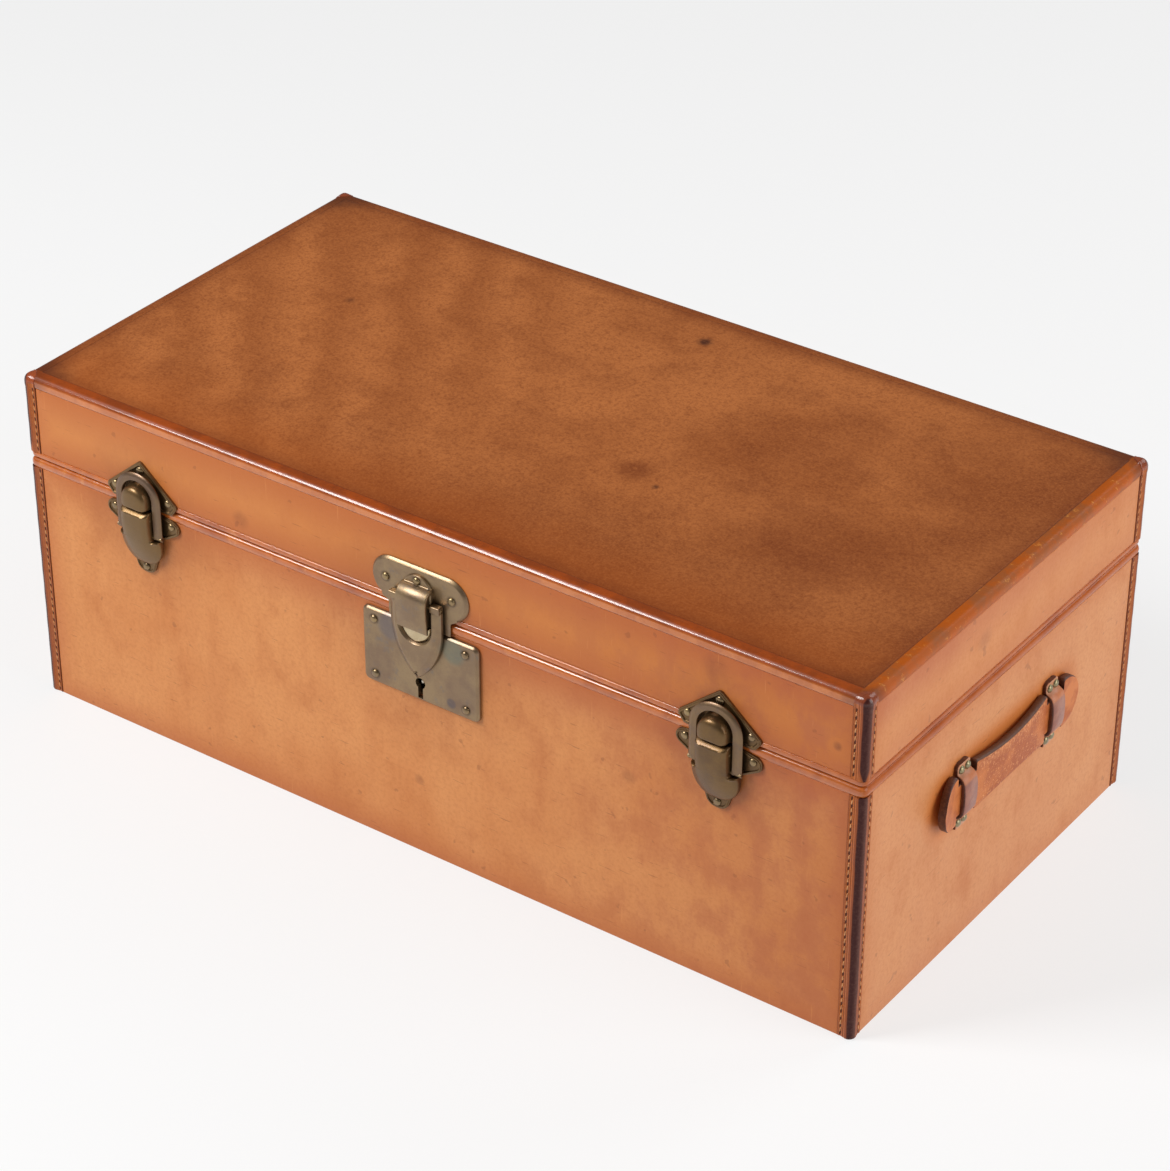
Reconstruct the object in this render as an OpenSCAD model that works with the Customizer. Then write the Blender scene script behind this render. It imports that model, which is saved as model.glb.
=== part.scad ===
// Leather travel trunk with a hinged lid, a hasp lock, two draw latches and end handles.
// Millimetres. The origin is the centre of the bottom face, X runs along the length,
// the front is at -Y and Z is up.

/* [Trunk] */
// Length over the corner welts
trunk_length = 610; // [480:1:800]
// Depth over the corner welts
trunk_depth = 314; // [260:1:420]
// Height with the lid shut
trunk_height = 232; // [200:1:320]
// Height of the seam between the case and the lid
seam_height = 174; // [150:1:260]
// Gap between the case and the shut lid
seam_gap = 0.6; // [0.4:0.1:1.2]

/* [Carcass] */
// Thickness of the boards of the case
case_board = 9; // [8.5:0.5:11]
// Thickness of the boards of the frame inside the case
frame_board = 4; // [3:0.5:6]
// How far the inner frame stands above the seam
frame_rise = 9; // [5:1:14]
// Gap between the inner frame and the lid's lining
frame_gap = 1.2; // [0.8:0.1:2]
// Thickness of the cloth lining
lining = 0.8; // [0.6:0.1:1.4]

/* [Leather] */
// Thickness of the leather panels
leather = 2.5; // [2:0.1:3.5]
// How far the corner welts stand proud of the panels
welt_proud = 1; // [0.6:0.1:1.6]
// Width of a corner welt on each face
welt_width = 10; // [8:0.5:14]
// Radius of the upright corners
corner_radius = 4.5; // [3.5:0.1:6]
// Height of the bead round the top of the case
bead_height = 6.5; // [5:0.5:9]
// How far the bead stands proud of the panels
bead_proud = 0.8; // [0.4:0.1:1.2]
// Height of the leather edge of the lid at the seam
binding_height = 4; // [3:0.5:6]
// How far the lid's leather edge stands proud of the panels
binding_proud = 0.4; // [0.2:0.1:0.8]
// How far the top leather turns down over the sides
top_turn = 7.5; // [6:0.5:12]
// How far the turned down top leather stands proud of the panels
top_proud = 0.5; // [0.3:0.1:0.9]

/* [Hinge] */
// Distance from the corner welts to the ends of the hinge
hinge_end_gap = 0; // [0:1:60]
// Height of one hinge leaf, from the seam to its edge
leaf_height = 17; // [12:0.5:24]
// Thickness of the hinge leaves
leaf_thickness = 1.2; // [1:0.1:1.6]
// Radius of the hinge knuckles
knuckle_radius = 2.8; // [2.6:0.1:3.4]
// Radius of the hinge pin
hinge_pin_radius = 1.2; // [1:0.1:1.6]
// Number of knuckles
knuckle_count = 9; // [5:2:13]
// Nails along each hinge leaf
hinge_nail_count = 9; // [5:2:11]

/* [Nails] */
// Radius of a nail's shank
nail_radius = 1; // [0.8:0.1:1.2]
// Radius of a nail's domed head
nail_head = 2.1; // [1.6:0.1:2.4]
// Height of a nail's domed head
nail_dome = 1.2; // [0.8:0.1:1.5]
// How deep a nail goes behind the leather's face
nail_depth = 8; // [5:0.5:10]

/* [Lock] */
// Place of the lock's centre line from the middle of the front
lock_x = 3; // [-10:0.5:10]
// Width of the lock plate
lock_width = 85; // [76:1:96]
// Height of the lock plate
lock_height = 52; // [50:1:60]
// Thickness of the lock plate
lock_thickness = 3; // [2.4:0.1:3.6]
// Distance from the seam down to the lock plate
lock_drop = 8.7; // [8.5:0.1:14]
// Radius of the keyhole's round part
keyhole_radius = 3.6; // [3:0.1:4.5]
// Width of the keyhole's slot
keyhole_slot = 3.6; // [2.6:0.1:4.4]
// Width of the lid's lock plate
lid_plate_width = 70; // [62:1:84]
// Height of the lid's lock plate
lid_plate_height = 29; // [27:0.5:34]
// Thickness of the lid's lock plate
lid_plate_thickness = 2.4; // [2:0.1:2.6]

/* [Hasp] */
// Width of the hasp
hasp_width = 37; // [34:0.5:42]
// Thickness of the hasp
hasp_thickness = 4.4; // [3.6:0.1:5]
// Height of the hasp's pin above the seam
hasp_pin_rise = 10; // [8:0.5:12]
// Distance from the seam down to the hasp's tip
hasp_drop = 43; // [40:1:48]
// Width of the knuckle that carries the hasp
knuckle_width = 22; // [19:0.5:24]
// Radius of the hasp's pin
hasp_pin_radius = 1.2; // [1:0.1:1.5]
// Travel of the thumb catch
catch_travel = 2; // [1:0.1:2.4]
// Travel of the lock's bolt
bolt_travel = 8; // [7:0.5:10]

/* [Latches] */
// Distance of each latch from the end of the trunk
latch_inset = 94; // [70:1:180]
// Thickness of the latch plates
latch_plate = 1.2; // [1:0.1:1.4]
// Height of the latch plates' raised edge
latch_edge = 0.9; // [0.5:0.1:1.2]
// How far the lever and the dome stand out from the leather
latch_depth = 12; // [11.6:0.1:13]
// Wall of the lever
lever_wall = 1.4; // [1.2:0.1:1.6]
// Half width of the lever's neck
neck_half = 11; // [10.5:0.1:11.5]
// Width of the legs of the bail
bail_width = 6.4; // [5:0.1:7]
// Thickness of the bail
bail_thickness = 2.2; // [1.8:0.1:2.4]
// Radius of the latch pins
latch_pin_radius = 1.1; // [0.9:0.1:1.3]

/* [Handles] */
// Height of the handles' centre line
handle_height = 112; // [90:1:130]
// Length of the handle straps
strap_length = 159; // [140:1:180]
// Width of the grip and of the strap's ends
strap_width = 34; // [28:1:38]
// Width of the strap's necks inside the keepers
neck_width = 22; // [18:0.5:24]
// Thickness of the straps
strap_thickness = 5; // [4:0.2:6]
// Distance between the keepers
keeper_spacing = 101; // [90:1:116]
// Width of a keeper
keeper_width = 13.5; // [11:0.5:16]
// Thickness of the keepers' leather
keeper_thickness = 3; // [2.4:0.1:3.6]
// How far the grip bows out
grip_bow = 2; // [1:0.5:5]
// How much narrower the middle of the grip is on each side
grip_waist = 2.3; // [0.5:0.1:4]
// Sliding room of a strap each way
strap_play = 3; // [1:0.5:5]

/* [Hidden] */

// Smoothness of round parts and of rounded plate outlines
round_fn = 48;
outline_fn = 32;
// Overshoot of a cut past the face that it opens
cut = 1;
// Running gap round a pin or a sliding shank
run_gap = 0.06;
// Gap between pieces that swing past each other
swing_gap = 0.3;

// Planes of the leather and of the carcass, as half sizes
half_x = trunk_length / 2;
half_y = trunk_depth / 2;
face_x = half_x - welt_proud;
face_y = half_y - welt_proud;
board_x = face_x - leather;
board_y = face_y - leather;
case_in_x = board_x - case_board;
case_in_y = board_y - case_board;
frame_in_x = case_in_x - frame_board;
frame_in_y = case_in_y - frame_board;
lid_board = case_board - frame_gap - lining;
lid_in_x = board_x - lid_board;
lid_in_y = board_y - lid_board;

// Heights, from the floor up
floor_top = leather + case_board;
case_top = seam_height - seam_gap / 2;
lid_bottom = seam_height + seam_gap / 2;
bead_cover = 2;
butt_gap = 0.1;
bead_bottom = case_top - bead_height;
binding_top = lid_bottom + binding_height;
turn_bottom = trunk_height - top_turn;
lid_leather_under = trunk_height - leather;
lid_board_under = lid_leather_under - lid_board;

// Hinge: its axis lies behind the back leather
axis_gap = 0.3;
axis_y = face_y + knuckle_radius + axis_gap;
axis_z = seam_height;
hinge_length = trunk_length - 2 * (welt_width + hinge_end_gap);
knuckle_pitch = hinge_length / knuckle_count;
knuckle_gap = 0.2;
leaf_clear = 0.15;

// Lock: heights are measured from the seam, w is the distance out of the front leather
lock_top = -lock_drop;
lock_middle = lock_top - lock_height / 2;
lock_corner = 4;
lock_nail_x = lock_width / 2 - 9;
lock_nail_z = lock_height / 2 - 6.8;
lock_edge = 1;
housing_half = 25;
housing_wall = 1.2;
housing_depth = 8;
housing_top = lock_top - 1.5;
housing_bottom = lock_top - lock_height + 3;
housing_fit = 0.2;
keyhole_z = lock_middle - 13.5;
keyhole_bottom = keyhole_z - 10.4;
key_pin_radius = 1.1;

// Hasp and its knuckle
lid_plate_bottom = 2;
lid_plate_middle = lid_plate_bottom + lid_plate_height / 2;
tongue_half = 22.5;
tongue_back = 1.3;
tongue_front = 2.9;
tongue_bottom = lock_top + 0.8;
hasp_back = tongue_front + 0.4;
hasp_front = hasp_back + hasp_thickness;
hasp_pin_w = hasp_back + hasp_thickness / 2;
hasp_eye = hasp_pin_w - tongue_front - 0.2;
notch_half = knuckle_width / 2 + 0.5;
notch_bottom = lock_top - 8.4;
hasp_straight = lock_top + 2.7;
bracket_front = hasp_front + 3.6;
bracket_roll = bracket_front - lid_plate_thickness;
bracket_tab = 1.6;
bracket_bottom = lock_top + 4.4;
bracket_tab_top = lid_plate_middle + 10.2;
lid_nail_x = lid_plate_width / 2 - 11;
lid_nail_z = lid_plate_middle + 0.6;
tab_nail_z = bracket_tab_top - 3.6;
staple_z = lock_middle + 2.7;
staple_half_x = 3;
staple_half_z = 4;
staple_back = -6.2;
staple_eye_half = 1.9;
staple_eye_w = -3.6;
staple_swing = 2.6;
bolt_size = 2.8;
bolt_rest = bolt_travel - staple_half_x - 0.5;
bolt_length = housing_half - housing_wall - bolt_rest - swing_gap;
catch_radius = notch_half - 0.6;
catch_z = notch_bottom + notch_half;
catch_back = lock_thickness + catch_travel + 0.5;
catch_front = hasp_front - 0.3;
catch_stem = 1.8;
catch_coil = 0.8;
catch_sleeve = catch_stem + swing_gap + catch_coil;
catch_stem_z = housing_top - housing_wall - catch_sleeve - 0.2;
catch_stem_back = -4;
collar_front = -0.2;
collar_back = -1.2;

// Latches: heights are measured from the seam
latch_x = half_x - latch_inset;
lever_pin_z = -7.5;
lever_pin_w = 6.8;
lever_top = -2.8;
shoulder_z = -22.3;
shoulder_half = 18;
lever_tip = -43;
lever_across = 45;
lever_along = 76;
lever_crest_z = -8;
flange_back = latch_plate + latch_edge + swing_gap;
bail_pin_z = -19.5;
bail_back = 4;
bail_pin_w = bail_back + bail_thickness / 2;
bail_eye = 2.3;
bail_half = neck_half + 0.4;
bail_arch_z = 4.6;
lug_thickness = 1.4;
lug_half = neck_half - lever_wall - swing_gap;
lug_radius = 2.2;
dome_half = 10.2;
dome_centre_z = 4.3;
dome_bottom = -1;
dome_ball = 16;
shield_apex = 27.5;
shield_half = 27.5;
shield_round = 3.2;
shield_low = 4;
ear_x = 23.6;
ear_z = -11.6;
ear_radius = 5.2;
ear_nail_x = 22.5;
ear_nail_z = -10.5;
ear_root_x = 14;
ear_root_z = -7.1;
ear_root = 3;
ear_foot_x = 12;
ear_foot_z = -21.5;
ear_foot = 2.5;
base_tip = -50;
catch_nails = [[0, 21.9], [-21, 5.6], [21, 5.6]];
base_nails = [[-ear_nail_x, ear_nail_z], [ear_nail_x, ear_nail_z], [0, base_tip + 3.6]];

// Handles: x runs along the strap, z is the distance out of the end leather
keeper_x = keeper_spacing / 2;
strap_back = 0.6;
neck_gap = 0.5;
grip_half = keeper_x - keeper_width / 2 - strap_play - 0.5;
tab_start = keeper_x + keeper_width / 2 + strap_play + 0.5;
tab_radius = strap_width / 2;
keeper_inner_w = strap_back + strap_thickness + neck_gap;
keeper_inner_z = neck_width / 2 + neck_gap;
keeper_foot = 10;
rivet_x = keeper_width / 2 - 3.4;
rivet_z = keeper_inner_z + keeper_thickness + 3;
rivet_radius = 1.1;
rivet_head = 2.3;

// Colours
tan_leather = [0.78, 0.47, 0.27];
brown_leather = [0.50, 0.25, 0.11];
dark_leather = [0.27, 0.13, 0.08];
old_brass = [0.45, 0.38, 0.27];
pale_metal = [0.75, 0.72, 0.62];
bare_wood = [0.72, 0.58, 0.40];
linen = [0.80, 0.74, 0.62];

// Places a piece drawn in the front face: x along the front, y up from the seam, z outwards
module on_front(x) translate([x, -face_y, seam_height]) rotate([90, 0, 0]) children();

// Places a piece drawn in the back face: x to the left, y up from the seam, z outwards
module on_back() translate([0, face_y, seam_height]) rotate([90, 0, 180]) children();

// Places a piece drawn in the right end: x towards the back, y up, z outwards
module on_right_end() translate([face_x, 0, handle_height]) rotate([90, 0, 90]) children();

module on_left_end() mirror([1, 0, 0]) on_right_end() children();

// Box between two corners
module block(low, high) translate(low) cube(high - low);

// Box of the given half sizes between two heights
module slab(hx, hy, z0, z1) block([-hx, -hy, z0], [hx, hy, z1]);

// A closed band round the trunk: the child is its section, drawn with x = 0 at the outer
// face, x growing inwards as negative numbers, and y as the height.
module band(hx, hy) {
    for (turn = [0, 180]) rotate([0, 0, turn]) {
        translate([hx, corner_radius - hy, 0]) rotate([90, 0, 180])
            mirror([1, 0, 0]) linear_extrude(2 * (hy - corner_radius)) children();
        translate([hx - corner_radius, hy, 0]) rotate([90, 0, -90])
            mirror([1, 0, 0]) linear_extrude(2 * (hx - corner_radius)) children();
        for (side = [0, 1]) mirror([side, 0, 0])
            translate([hx - corner_radius, hy - corner_radius, 0])
                rotate_extrude(angle = 90, $fn = round_fn) intersection() {
                    translate([corner_radius, 0]) children();
                    translate([0, -2 * trunk_height]) square(4 * trunk_height);
                }
    }
}

// Four corner posts between two heights, each an angle of leather with a round edge
module corner_posts(z0, z1) {
    back = leather + welt_proud;
    for (sx = [0, 1], sy = [0, 1]) mirror([sx, 0, 0]) mirror([0, sy, 0])
        translate([half_x, half_y, z0]) linear_extrude(z1 - z0) difference() {
            union() {
                translate([-welt_width, -back]) square([welt_width - corner_radius, back]);
                translate([-back, -welt_width]) square([back, welt_width - corner_radius]);
                translate([-corner_radius, -corner_radius]) circle(corner_radius, $fn = round_fn);
            }
            translate([-3 * welt_width - back, -3 * welt_width - back]) square(3 * welt_width);
        }
}

// Drilled holes at a list of places in a face
module drill(places, radius, depth) {
    for (p = places)
        translate([p[0], p[1], -depth]) cylinder(r = radius + run_gap, h = 2 * depth, $fn = round_fn);
}

// Domed nails at a list of places: seat is the height of the face that they sit on
module nails(places, seat, depth, radius = nail_radius, head = nail_head) {
    ball = (head * head + nail_dome * nail_dome) / (2 * nail_dome);
    for (p = places) translate([p[0], p[1], 0]) {
        translate([0, 0, -depth]) cylinder(r = radius, h = depth + seat, $fn = round_fn);
        intersection() {
            translate([0, 0, seat + nail_dome - ball]) sphere(ball, $fn = round_fn);
            translate([0, 0, seat]) cylinder(r = head, h = nail_dome + cut, $fn = round_fn);
        }
    }
}

hinge_nails = [for (i = [0 : hinge_nail_count - 1])
    [(i - (hinge_nail_count - 1) / 2) * (hinge_length - 30) / (hinge_nail_count - 1), 11.5]];
lid_lock_places = [[-lid_nail_x, lid_nail_z], [lid_nail_x, lid_nail_z], [0, tab_nail_z]];
lock_places = [for (sx = [-1, 1], sz = [-1, 1]) [sx * lock_nail_x, lock_middle + sz * lock_nail_z]];
rivet_places = [for (k = [-1, 1], sx = [-1, 1], sz = [-1, 1])
    [k * keeper_x + sx * rivet_x, sz * rivet_z]];

// Everything that is drilled or cut through the front of the case
module front_case_cuts() {
    for (side = [-1, 1]) on_front(side * latch_x) drill(base_nails, nail_radius, nail_depth);
    on_front(lock_x) {
        drill(lock_places, nail_radius, nail_depth);
        block([-housing_half - housing_fit, housing_bottom - housing_fit, -housing_depth - housing_fit],
              [housing_half + housing_fit, housing_top + housing_fit, cut]);
    }
}

module front_lid_cuts() {
    for (side = [-1, 1]) on_front(side * latch_x) drill(catch_nails, nail_radius, nail_depth);
    on_front(lock_x) drill(lid_lock_places, nail_radius, nail_depth);
}

module end_cuts() {
    on_right_end() drill(rivet_places, rivet_radius, nail_depth);
    on_left_end() drill(rivet_places, rivet_radius, nail_depth);
}

// Room for the hinge in what it is let into
module hinge_room() {
    half = hinge_length / 2 + leaf_clear;
    high = leaf_height + leaf_clear;
    translate([0, 0, seam_height]) block([-half, face_y, -high], [half, half_y + cut, high]);
}

// Room for the latch plates and the lid's lock plate, let into the bead and the binding
module plate_room() {
    for (side = [-1, 1]) on_front(side * latch_x) {
        block([-ear_x - ear_radius - leaf_clear, ear_z, 0],
              [ear_x + ear_radius + leaf_clear, ear_root_z + ear_root + leaf_clear, cut + bead_proud]);
        block([-shield_half - leaf_clear, seam_gap / 2, 0],
              [shield_half + leaf_clear, shield_apex, cut + bead_proud]);
    }
    on_front(lock_x) block([-lid_plate_width / 2 - leaf_clear, lid_plate_bottom - leaf_clear, 0],
                           [lid_plate_width / 2 + leaf_clear, lid_plate_middle, cut + bead_proud]);
}

// Carcass of the case
module case_front_board() color(bare_wood) difference() {
    block([-board_x, -board_y, floor_top], [board_x, -case_in_y, case_top - bead_cover]);
    front_case_cuts();
}

module case_back_board() color(bare_wood) difference() {
    block([-board_x, case_in_y, floor_top], [board_x, board_y, case_top - bead_cover]);
    on_back() mirror([0, 1, 0]) drill(hinge_nails, nail_radius, nail_depth);
}

module case_end_boards() color(bare_wood) difference() {
    for (side = [0, 1]) mirror([side, 0, 0])
        block([case_in_x, -case_in_y, floor_top], [board_x, case_in_y, case_top - bead_cover]);
    end_cuts();
}

module case_bottom_board() color(bare_wood) slab(board_x, board_y, leather, floor_top);

// Leather of the case
module case_front_leather() color(tan_leather) difference() {
    block([welt_width - half_x, -face_y, 0], [half_x - welt_width, -board_y, bead_bottom]);
    front_case_cuts();
}

module case_back_leather() color(tan_leather) difference() {
    block([welt_width - half_x, board_y, 0], [half_x - welt_width, face_y, bead_bottom]);
    on_back() mirror([0, 1, 0]) drill(hinge_nails, nail_radius, nail_depth);
}

module case_end_leathers() color(tan_leather) difference() {
    for (side = [0, 1]) mirror([side, 0, 0])
        block([board_x, welt_width - half_y, 0], [face_x, half_y - welt_width, bead_bottom]);
    end_cuts();
}

module case_bottom_leather() color(brown_leather) slab(board_x, board_y, 0, leather);

// Bead: a rounded outer edge and a flat cover over the boards
module case_rim_bead() color(brown_leather) difference() {
    hx = face_x + bead_proud;
    hy = face_y + bead_proud;
    thick = leather + bead_proud;
    edge = 2.4;
    union() {
        band(hx, hy) {
            translate([-thick, bead_bottom]) square([thick, bead_height - edge]);
            translate([-thick, bead_bottom]) square([thick - edge, bead_height]);
            translate([-edge, case_top - edge]) circle(edge, $fn = round_fn);
        }
        difference() {
            slab(board_x, board_y, case_top - bead_cover, case_top);
            slab(case_in_x, case_in_y, 0, trunk_height);
        }
    }
    hinge_room();
    plate_room();
    slab(board_x, board_y, 0, case_top - bead_cover);
}

module case_corner_welts() color(dark_leather) corner_posts(0, bead_bottom);

// Frame that stands above the rim and locates the lid
module inner_frame() color(bare_wood) {
    top = seam_height + frame_rise;
    for (side = [0, 1]) {
        mirror([0, side, 0]) block([-case_in_x, frame_in_y, floor_top], [case_in_x, case_in_y, top]);
        mirror([side, 0, 0])
            block([frame_in_x, butt_gap - frame_in_y, floor_top], [case_in_x, frame_in_y - butt_gap, top]);
    }
}

module case_lining() color(linen) difference() {
    slab(frame_in_x, frame_in_y, floor_top, seam_height + frame_rise);
    slab(frame_in_x - lining, frame_in_y - lining, floor_top + lining, trunk_height);
}

// Carcass of the lid
module lid_top_board() color(bare_wood) slab(board_x, board_y, lid_board_under, lid_leather_under);

module lid_front_board() color(bare_wood) difference() {
    block([-board_x, -board_y, lid_bottom + bead_cover], [board_x, -lid_in_y, lid_board_under]);
    front_lid_cuts();
}

module lid_back_board() color(bare_wood) difference() {
    block([-board_x, lid_in_y, lid_bottom + bead_cover], [board_x, board_y, lid_board_under]);
    on_back() drill(hinge_nails, nail_radius, nail_depth);
}

module lid_end_boards() color(bare_wood) for (side = [0, 1]) mirror([side, 0, 0])
    block([lid_in_x, -lid_in_y, lid_bottom + bead_cover], [board_x, lid_in_y, lid_board_under]);

// Leather of the lid
module lid_top_leather() color(brown_leather) {
    hx = face_x + top_proud;
    hy = face_y + top_proud;
    thick = leather + top_proud;
    slab(hx - corner_radius, hy - corner_radius, lid_leather_under, trunk_height);
    difference() {
        band(hx, hy) {
            translate([-thick, turn_bottom]) square([thick, top_turn - corner_radius]);
            translate([-corner_radius, trunk_height - corner_radius]) intersection() {
                circle(corner_radius, $fn = round_fn);
                translate([-corner_radius, 0]) square(2 * corner_radius);
            }
        }
        slab(board_x, board_y, 0, lid_leather_under);
        slab(hx - corner_radius, hy - corner_radius, 0, trunk_height + cut);
        corner_posts(0, turn_bottom);
    }
}

module lid_front_leather() color(tan_leather) difference() {
    block([welt_width - half_x, -face_y, binding_top], [half_x - welt_width, -board_y, turn_bottom]);
    front_lid_cuts();
}

module lid_back_leather() color(tan_leather) difference() {
    block([welt_width - half_x, board_y, binding_top], [half_x - welt_width, face_y, turn_bottom]);
    on_back() drill(hinge_nails, nail_radius, nail_depth);
}

module lid_end_leathers() color(tan_leather) for (side = [0, 1]) mirror([side, 0, 0])
    block([board_x, welt_width - half_y, binding_top], [face_x, half_y - welt_width, turn_bottom]);

module lid_rim_binding() color(brown_leather) difference() {
    hx = face_x + binding_proud;
    hy = face_y + binding_proud;
    thick = leather + binding_proud;
    edge = 1.6;
    union() {
        band(hx, hy) {
            translate([-thick, lid_bottom + edge]) square([thick, binding_height - edge]);
            translate([-thick, lid_bottom]) square([thick - edge, binding_height]);
            translate([-edge, lid_bottom + edge]) circle(edge, $fn = round_fn);
        }
        difference() {
            slab(board_x, board_y, lid_bottom, lid_bottom + bead_cover);
            slab(lid_in_x, lid_in_y, 0, trunk_height);
        }
    }
    hinge_room();
    plate_room();
    slab(board_x, board_y, lid_bottom + bead_cover, trunk_height);
}

module lid_corner_welts() color(dark_leather) corner_posts(binding_top, turn_bottom);

module lid_lining() color(linen) difference() {
    slab(lid_in_x, lid_in_y, lid_bottom, lid_board_under);
    slab(lid_in_x - lining, lid_in_y - lining, 0, lid_board_under - lining);
}

// Lock on the case
module lock_outline(inset) {
    hx = lock_width / 2 - lock_corner;
    hz = lock_height / 2 - lock_corner;
    translate([0, lock_middle]) {
        square([2 * hx, 2 * (hz + lock_corner - inset)], center = true);
        square([2 * (hx + lock_corner - inset), 2 * hz], center = true);
        for (sx = [-1, 1], sz = [-1, 1])
            translate([sx * hx, sz * hz]) circle(lock_corner - inset, $fn = round_fn);
    }
}

module lock_plate() color(old_brass) on_front(lock_x) difference() {
    union() {
        linear_extrude(lock_thickness - lock_edge) lock_outline(0);
        linear_extrude(lock_thickness) lock_outline(lock_edge);
    }
    drill(lock_places, nail_radius, nail_depth);
    translate([0, keyhole_z, -cut]) cylinder(r = keyhole_radius, h = 2 * nail_depth, $fn = round_fn);
    block([-keyhole_slot / 2, keyhole_bottom, -cut], [keyhole_slot / 2, keyhole_z, lock_thickness + cut]);
    block([-staple_half_x - 0.6, staple_z - staple_half_z - staple_swing, -cut],
          [staple_half_x + 0.6, staple_z + staple_half_z + 0.8, lock_thickness + cut]);
    translate([0, catch_stem_z, -cut])
        cylinder(r = catch_stem + run_gap, h = 2 * nail_depth, $fn = round_fn);
}

module lock_plate_nails() color(old_brass) on_front(lock_x)
    nails(lock_places, lock_thickness, nail_depth);

// Open box behind the plate, with guides for the bolt
module lock_housing() color(pale_metal) on_front(lock_x) difference() {
    block([-housing_half, housing_bottom, -housing_depth], [housing_half, housing_top, 0]);
    difference() {
        block([housing_wall - housing_half, housing_bottom + housing_wall, housing_wall - housing_depth],
              [housing_half - housing_wall, housing_top - housing_wall, cut]);
        bolt_guides();
    }
}

module bolt_guides() {
    gap = 0.1;
    half = bolt_size / 2;
    for (x = [-bolt_rest - 2, -bolt_rest - 7.5]) difference() {
        block([x - 1.2, staple_z - half - 2.5, -housing_depth], [x + 1.2, staple_z + half + 2.5, -0.6]);
        block([x - 2, staple_z - half - gap, staple_eye_w - half - gap],
              [x + 2, staple_z + half + gap, staple_eye_w + half + gap]);
    }
}

module lock_bolt() color(pale_metal) on_front(lock_x) {
    half = bolt_size / 2;
    block([-bolt_rest - bolt_length, staple_z - half, staple_eye_w - half],
          [-bolt_rest, staple_z + half, staple_eye_w + half]);
}

module lock_key_pin() color(pale_metal) on_front(lock_x)
    translate([0, keyhole_z, housing_wall - housing_depth])
        cylinder(r = key_pin_radius, h = housing_depth + lock_thickness - 2, $fn = round_fn);

// Half-moon press catch on a round stem, with a collar that stops it behind the plate
module thumb_catch() color(pale_metal) on_front(lock_x) {
    difference() {
        translate([0, catch_z, catch_back])
            cylinder(r = catch_radius, h = catch_front - catch_back, $fn = round_fn);
        block([-2 * catch_radius, bracket_bottom - 0.5, 0],
              [2 * catch_radius, 2 * catch_radius, latch_depth]);
    }
    translate([0, catch_stem_z, catch_stem_back])
        cylinder(r = catch_stem, h = catch_back - catch_stem_back, $fn = round_fn);
    translate([0, catch_stem_z, collar_back])
        cylinder(r = catch_sleeve, h = collar_front - collar_back, $fn = round_fn);
}

// Spring round the stem's inner end, drawn as the sleeve that its coils fill when pressed home
module thumb_catch_spring() color(pale_metal) on_front(lock_x)
    translate([0, catch_stem_z, housing_wall - housing_depth]) difference() {
        deep = housing_depth - housing_wall + collar_back - catch_travel - swing_gap;
        cylinder(r = catch_sleeve, h = deep, $fn = round_fn);
        translate([0, 0, -cut]) cylinder(r = catch_stem + swing_gap, h = deep + 2 * cut, $fn = round_fn);
    }

// Lock plate of the lid: two round ends, a raised rim and a tongue over the seam
module lid_plate_outline(inset) {
    r = lid_plate_height / 2;
    reach = lid_plate_width / 2 - r;
    translate([0, lid_plate_middle]) {
        square([2 * reach, 2 * (r - inset)], center = true);
        for (side = [-1, 1]) translate([side * reach, 0]) circle(r - inset, $fn = 2 * round_fn);
    }
}

module lid_lock_plate() color(old_brass) on_front(lock_x) difference() {
    union() {
        linear_extrude(lid_plate_thickness - 0.6) lid_plate_outline(0);
        linear_extrude(lid_plate_thickness) lid_plate_outline(0.7);
        block([-tongue_half, tongue_bottom, tongue_back], [tongue_half, lid_plate_bottom + 2, tongue_front]);
    }
    drill(lid_lock_places, nail_radius, nail_depth);
}

module lid_lock_nails() color(old_brass) on_front(lock_x) {
    nails([lid_lock_places[0], lid_lock_places[1]], lid_plate_thickness, nail_depth);
    nails([lid_lock_places[2]], lid_plate_thickness + bracket_tab, nail_depth);
}

// Rolled knuckle: its section is drawn with x outwards and y up, and runs along the pin
module bracket_section() {
    roll_y = hasp_pin_rise + 2;
    translate([lid_plate_thickness, roll_y]) intersection() {
        circle(bracket_roll, $fn = 2 * round_fn);
        square(bracket_roll + cut);
    }
    translate([hasp_back, bracket_bottom]) square([bracket_front - hasp_back, roll_y - bracket_bottom]);
}

module hasp_bracket() color(old_brass) on_front(lock_x) difference() {
    half = knuckle_width / 2;
    union() {
        translate([-half, 0, 0]) rotate([90, 0, 90]) linear_extrude(knuckle_width)
            mirror([1, -1]) bracket_section();
        translate([0, bracket_tab_top - half, lid_plate_thickness])
            cylinder(r = half, h = bracket_tab, $fn = round_fn);
    }
    drill([lid_lock_places[2]], nail_radius, nail_depth);
    translate([-half - cut, hasp_pin_rise, hasp_pin_w]) rotate([0, 90, 0])
        cylinder(r = hasp_pin_radius + run_gap, h = knuckle_width + 2 * cut, $fn = round_fn);
}

// Outline of the shield: straight sides, then two arcs that meet at the tip
module shield_outline(inset) {
    half = hasp_width / 2 - inset;
    low = hasp_straight;
    drop = hasp_drop + low - inset;
    arc = (half * half + drop * drop) / (2 * half);
    translate([-half, low]) square([2 * half, hasp_pin_rise - low]);
    intersection() {
        translate([half - arc, low]) circle(arc, $fn = 4 * round_fn);
        translate([arc - half, low]) circle(arc, $fn = 4 * round_fn);
        translate([-half, low - drop - cut]) square([2 * half, drop + cut]);
    }
}

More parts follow.
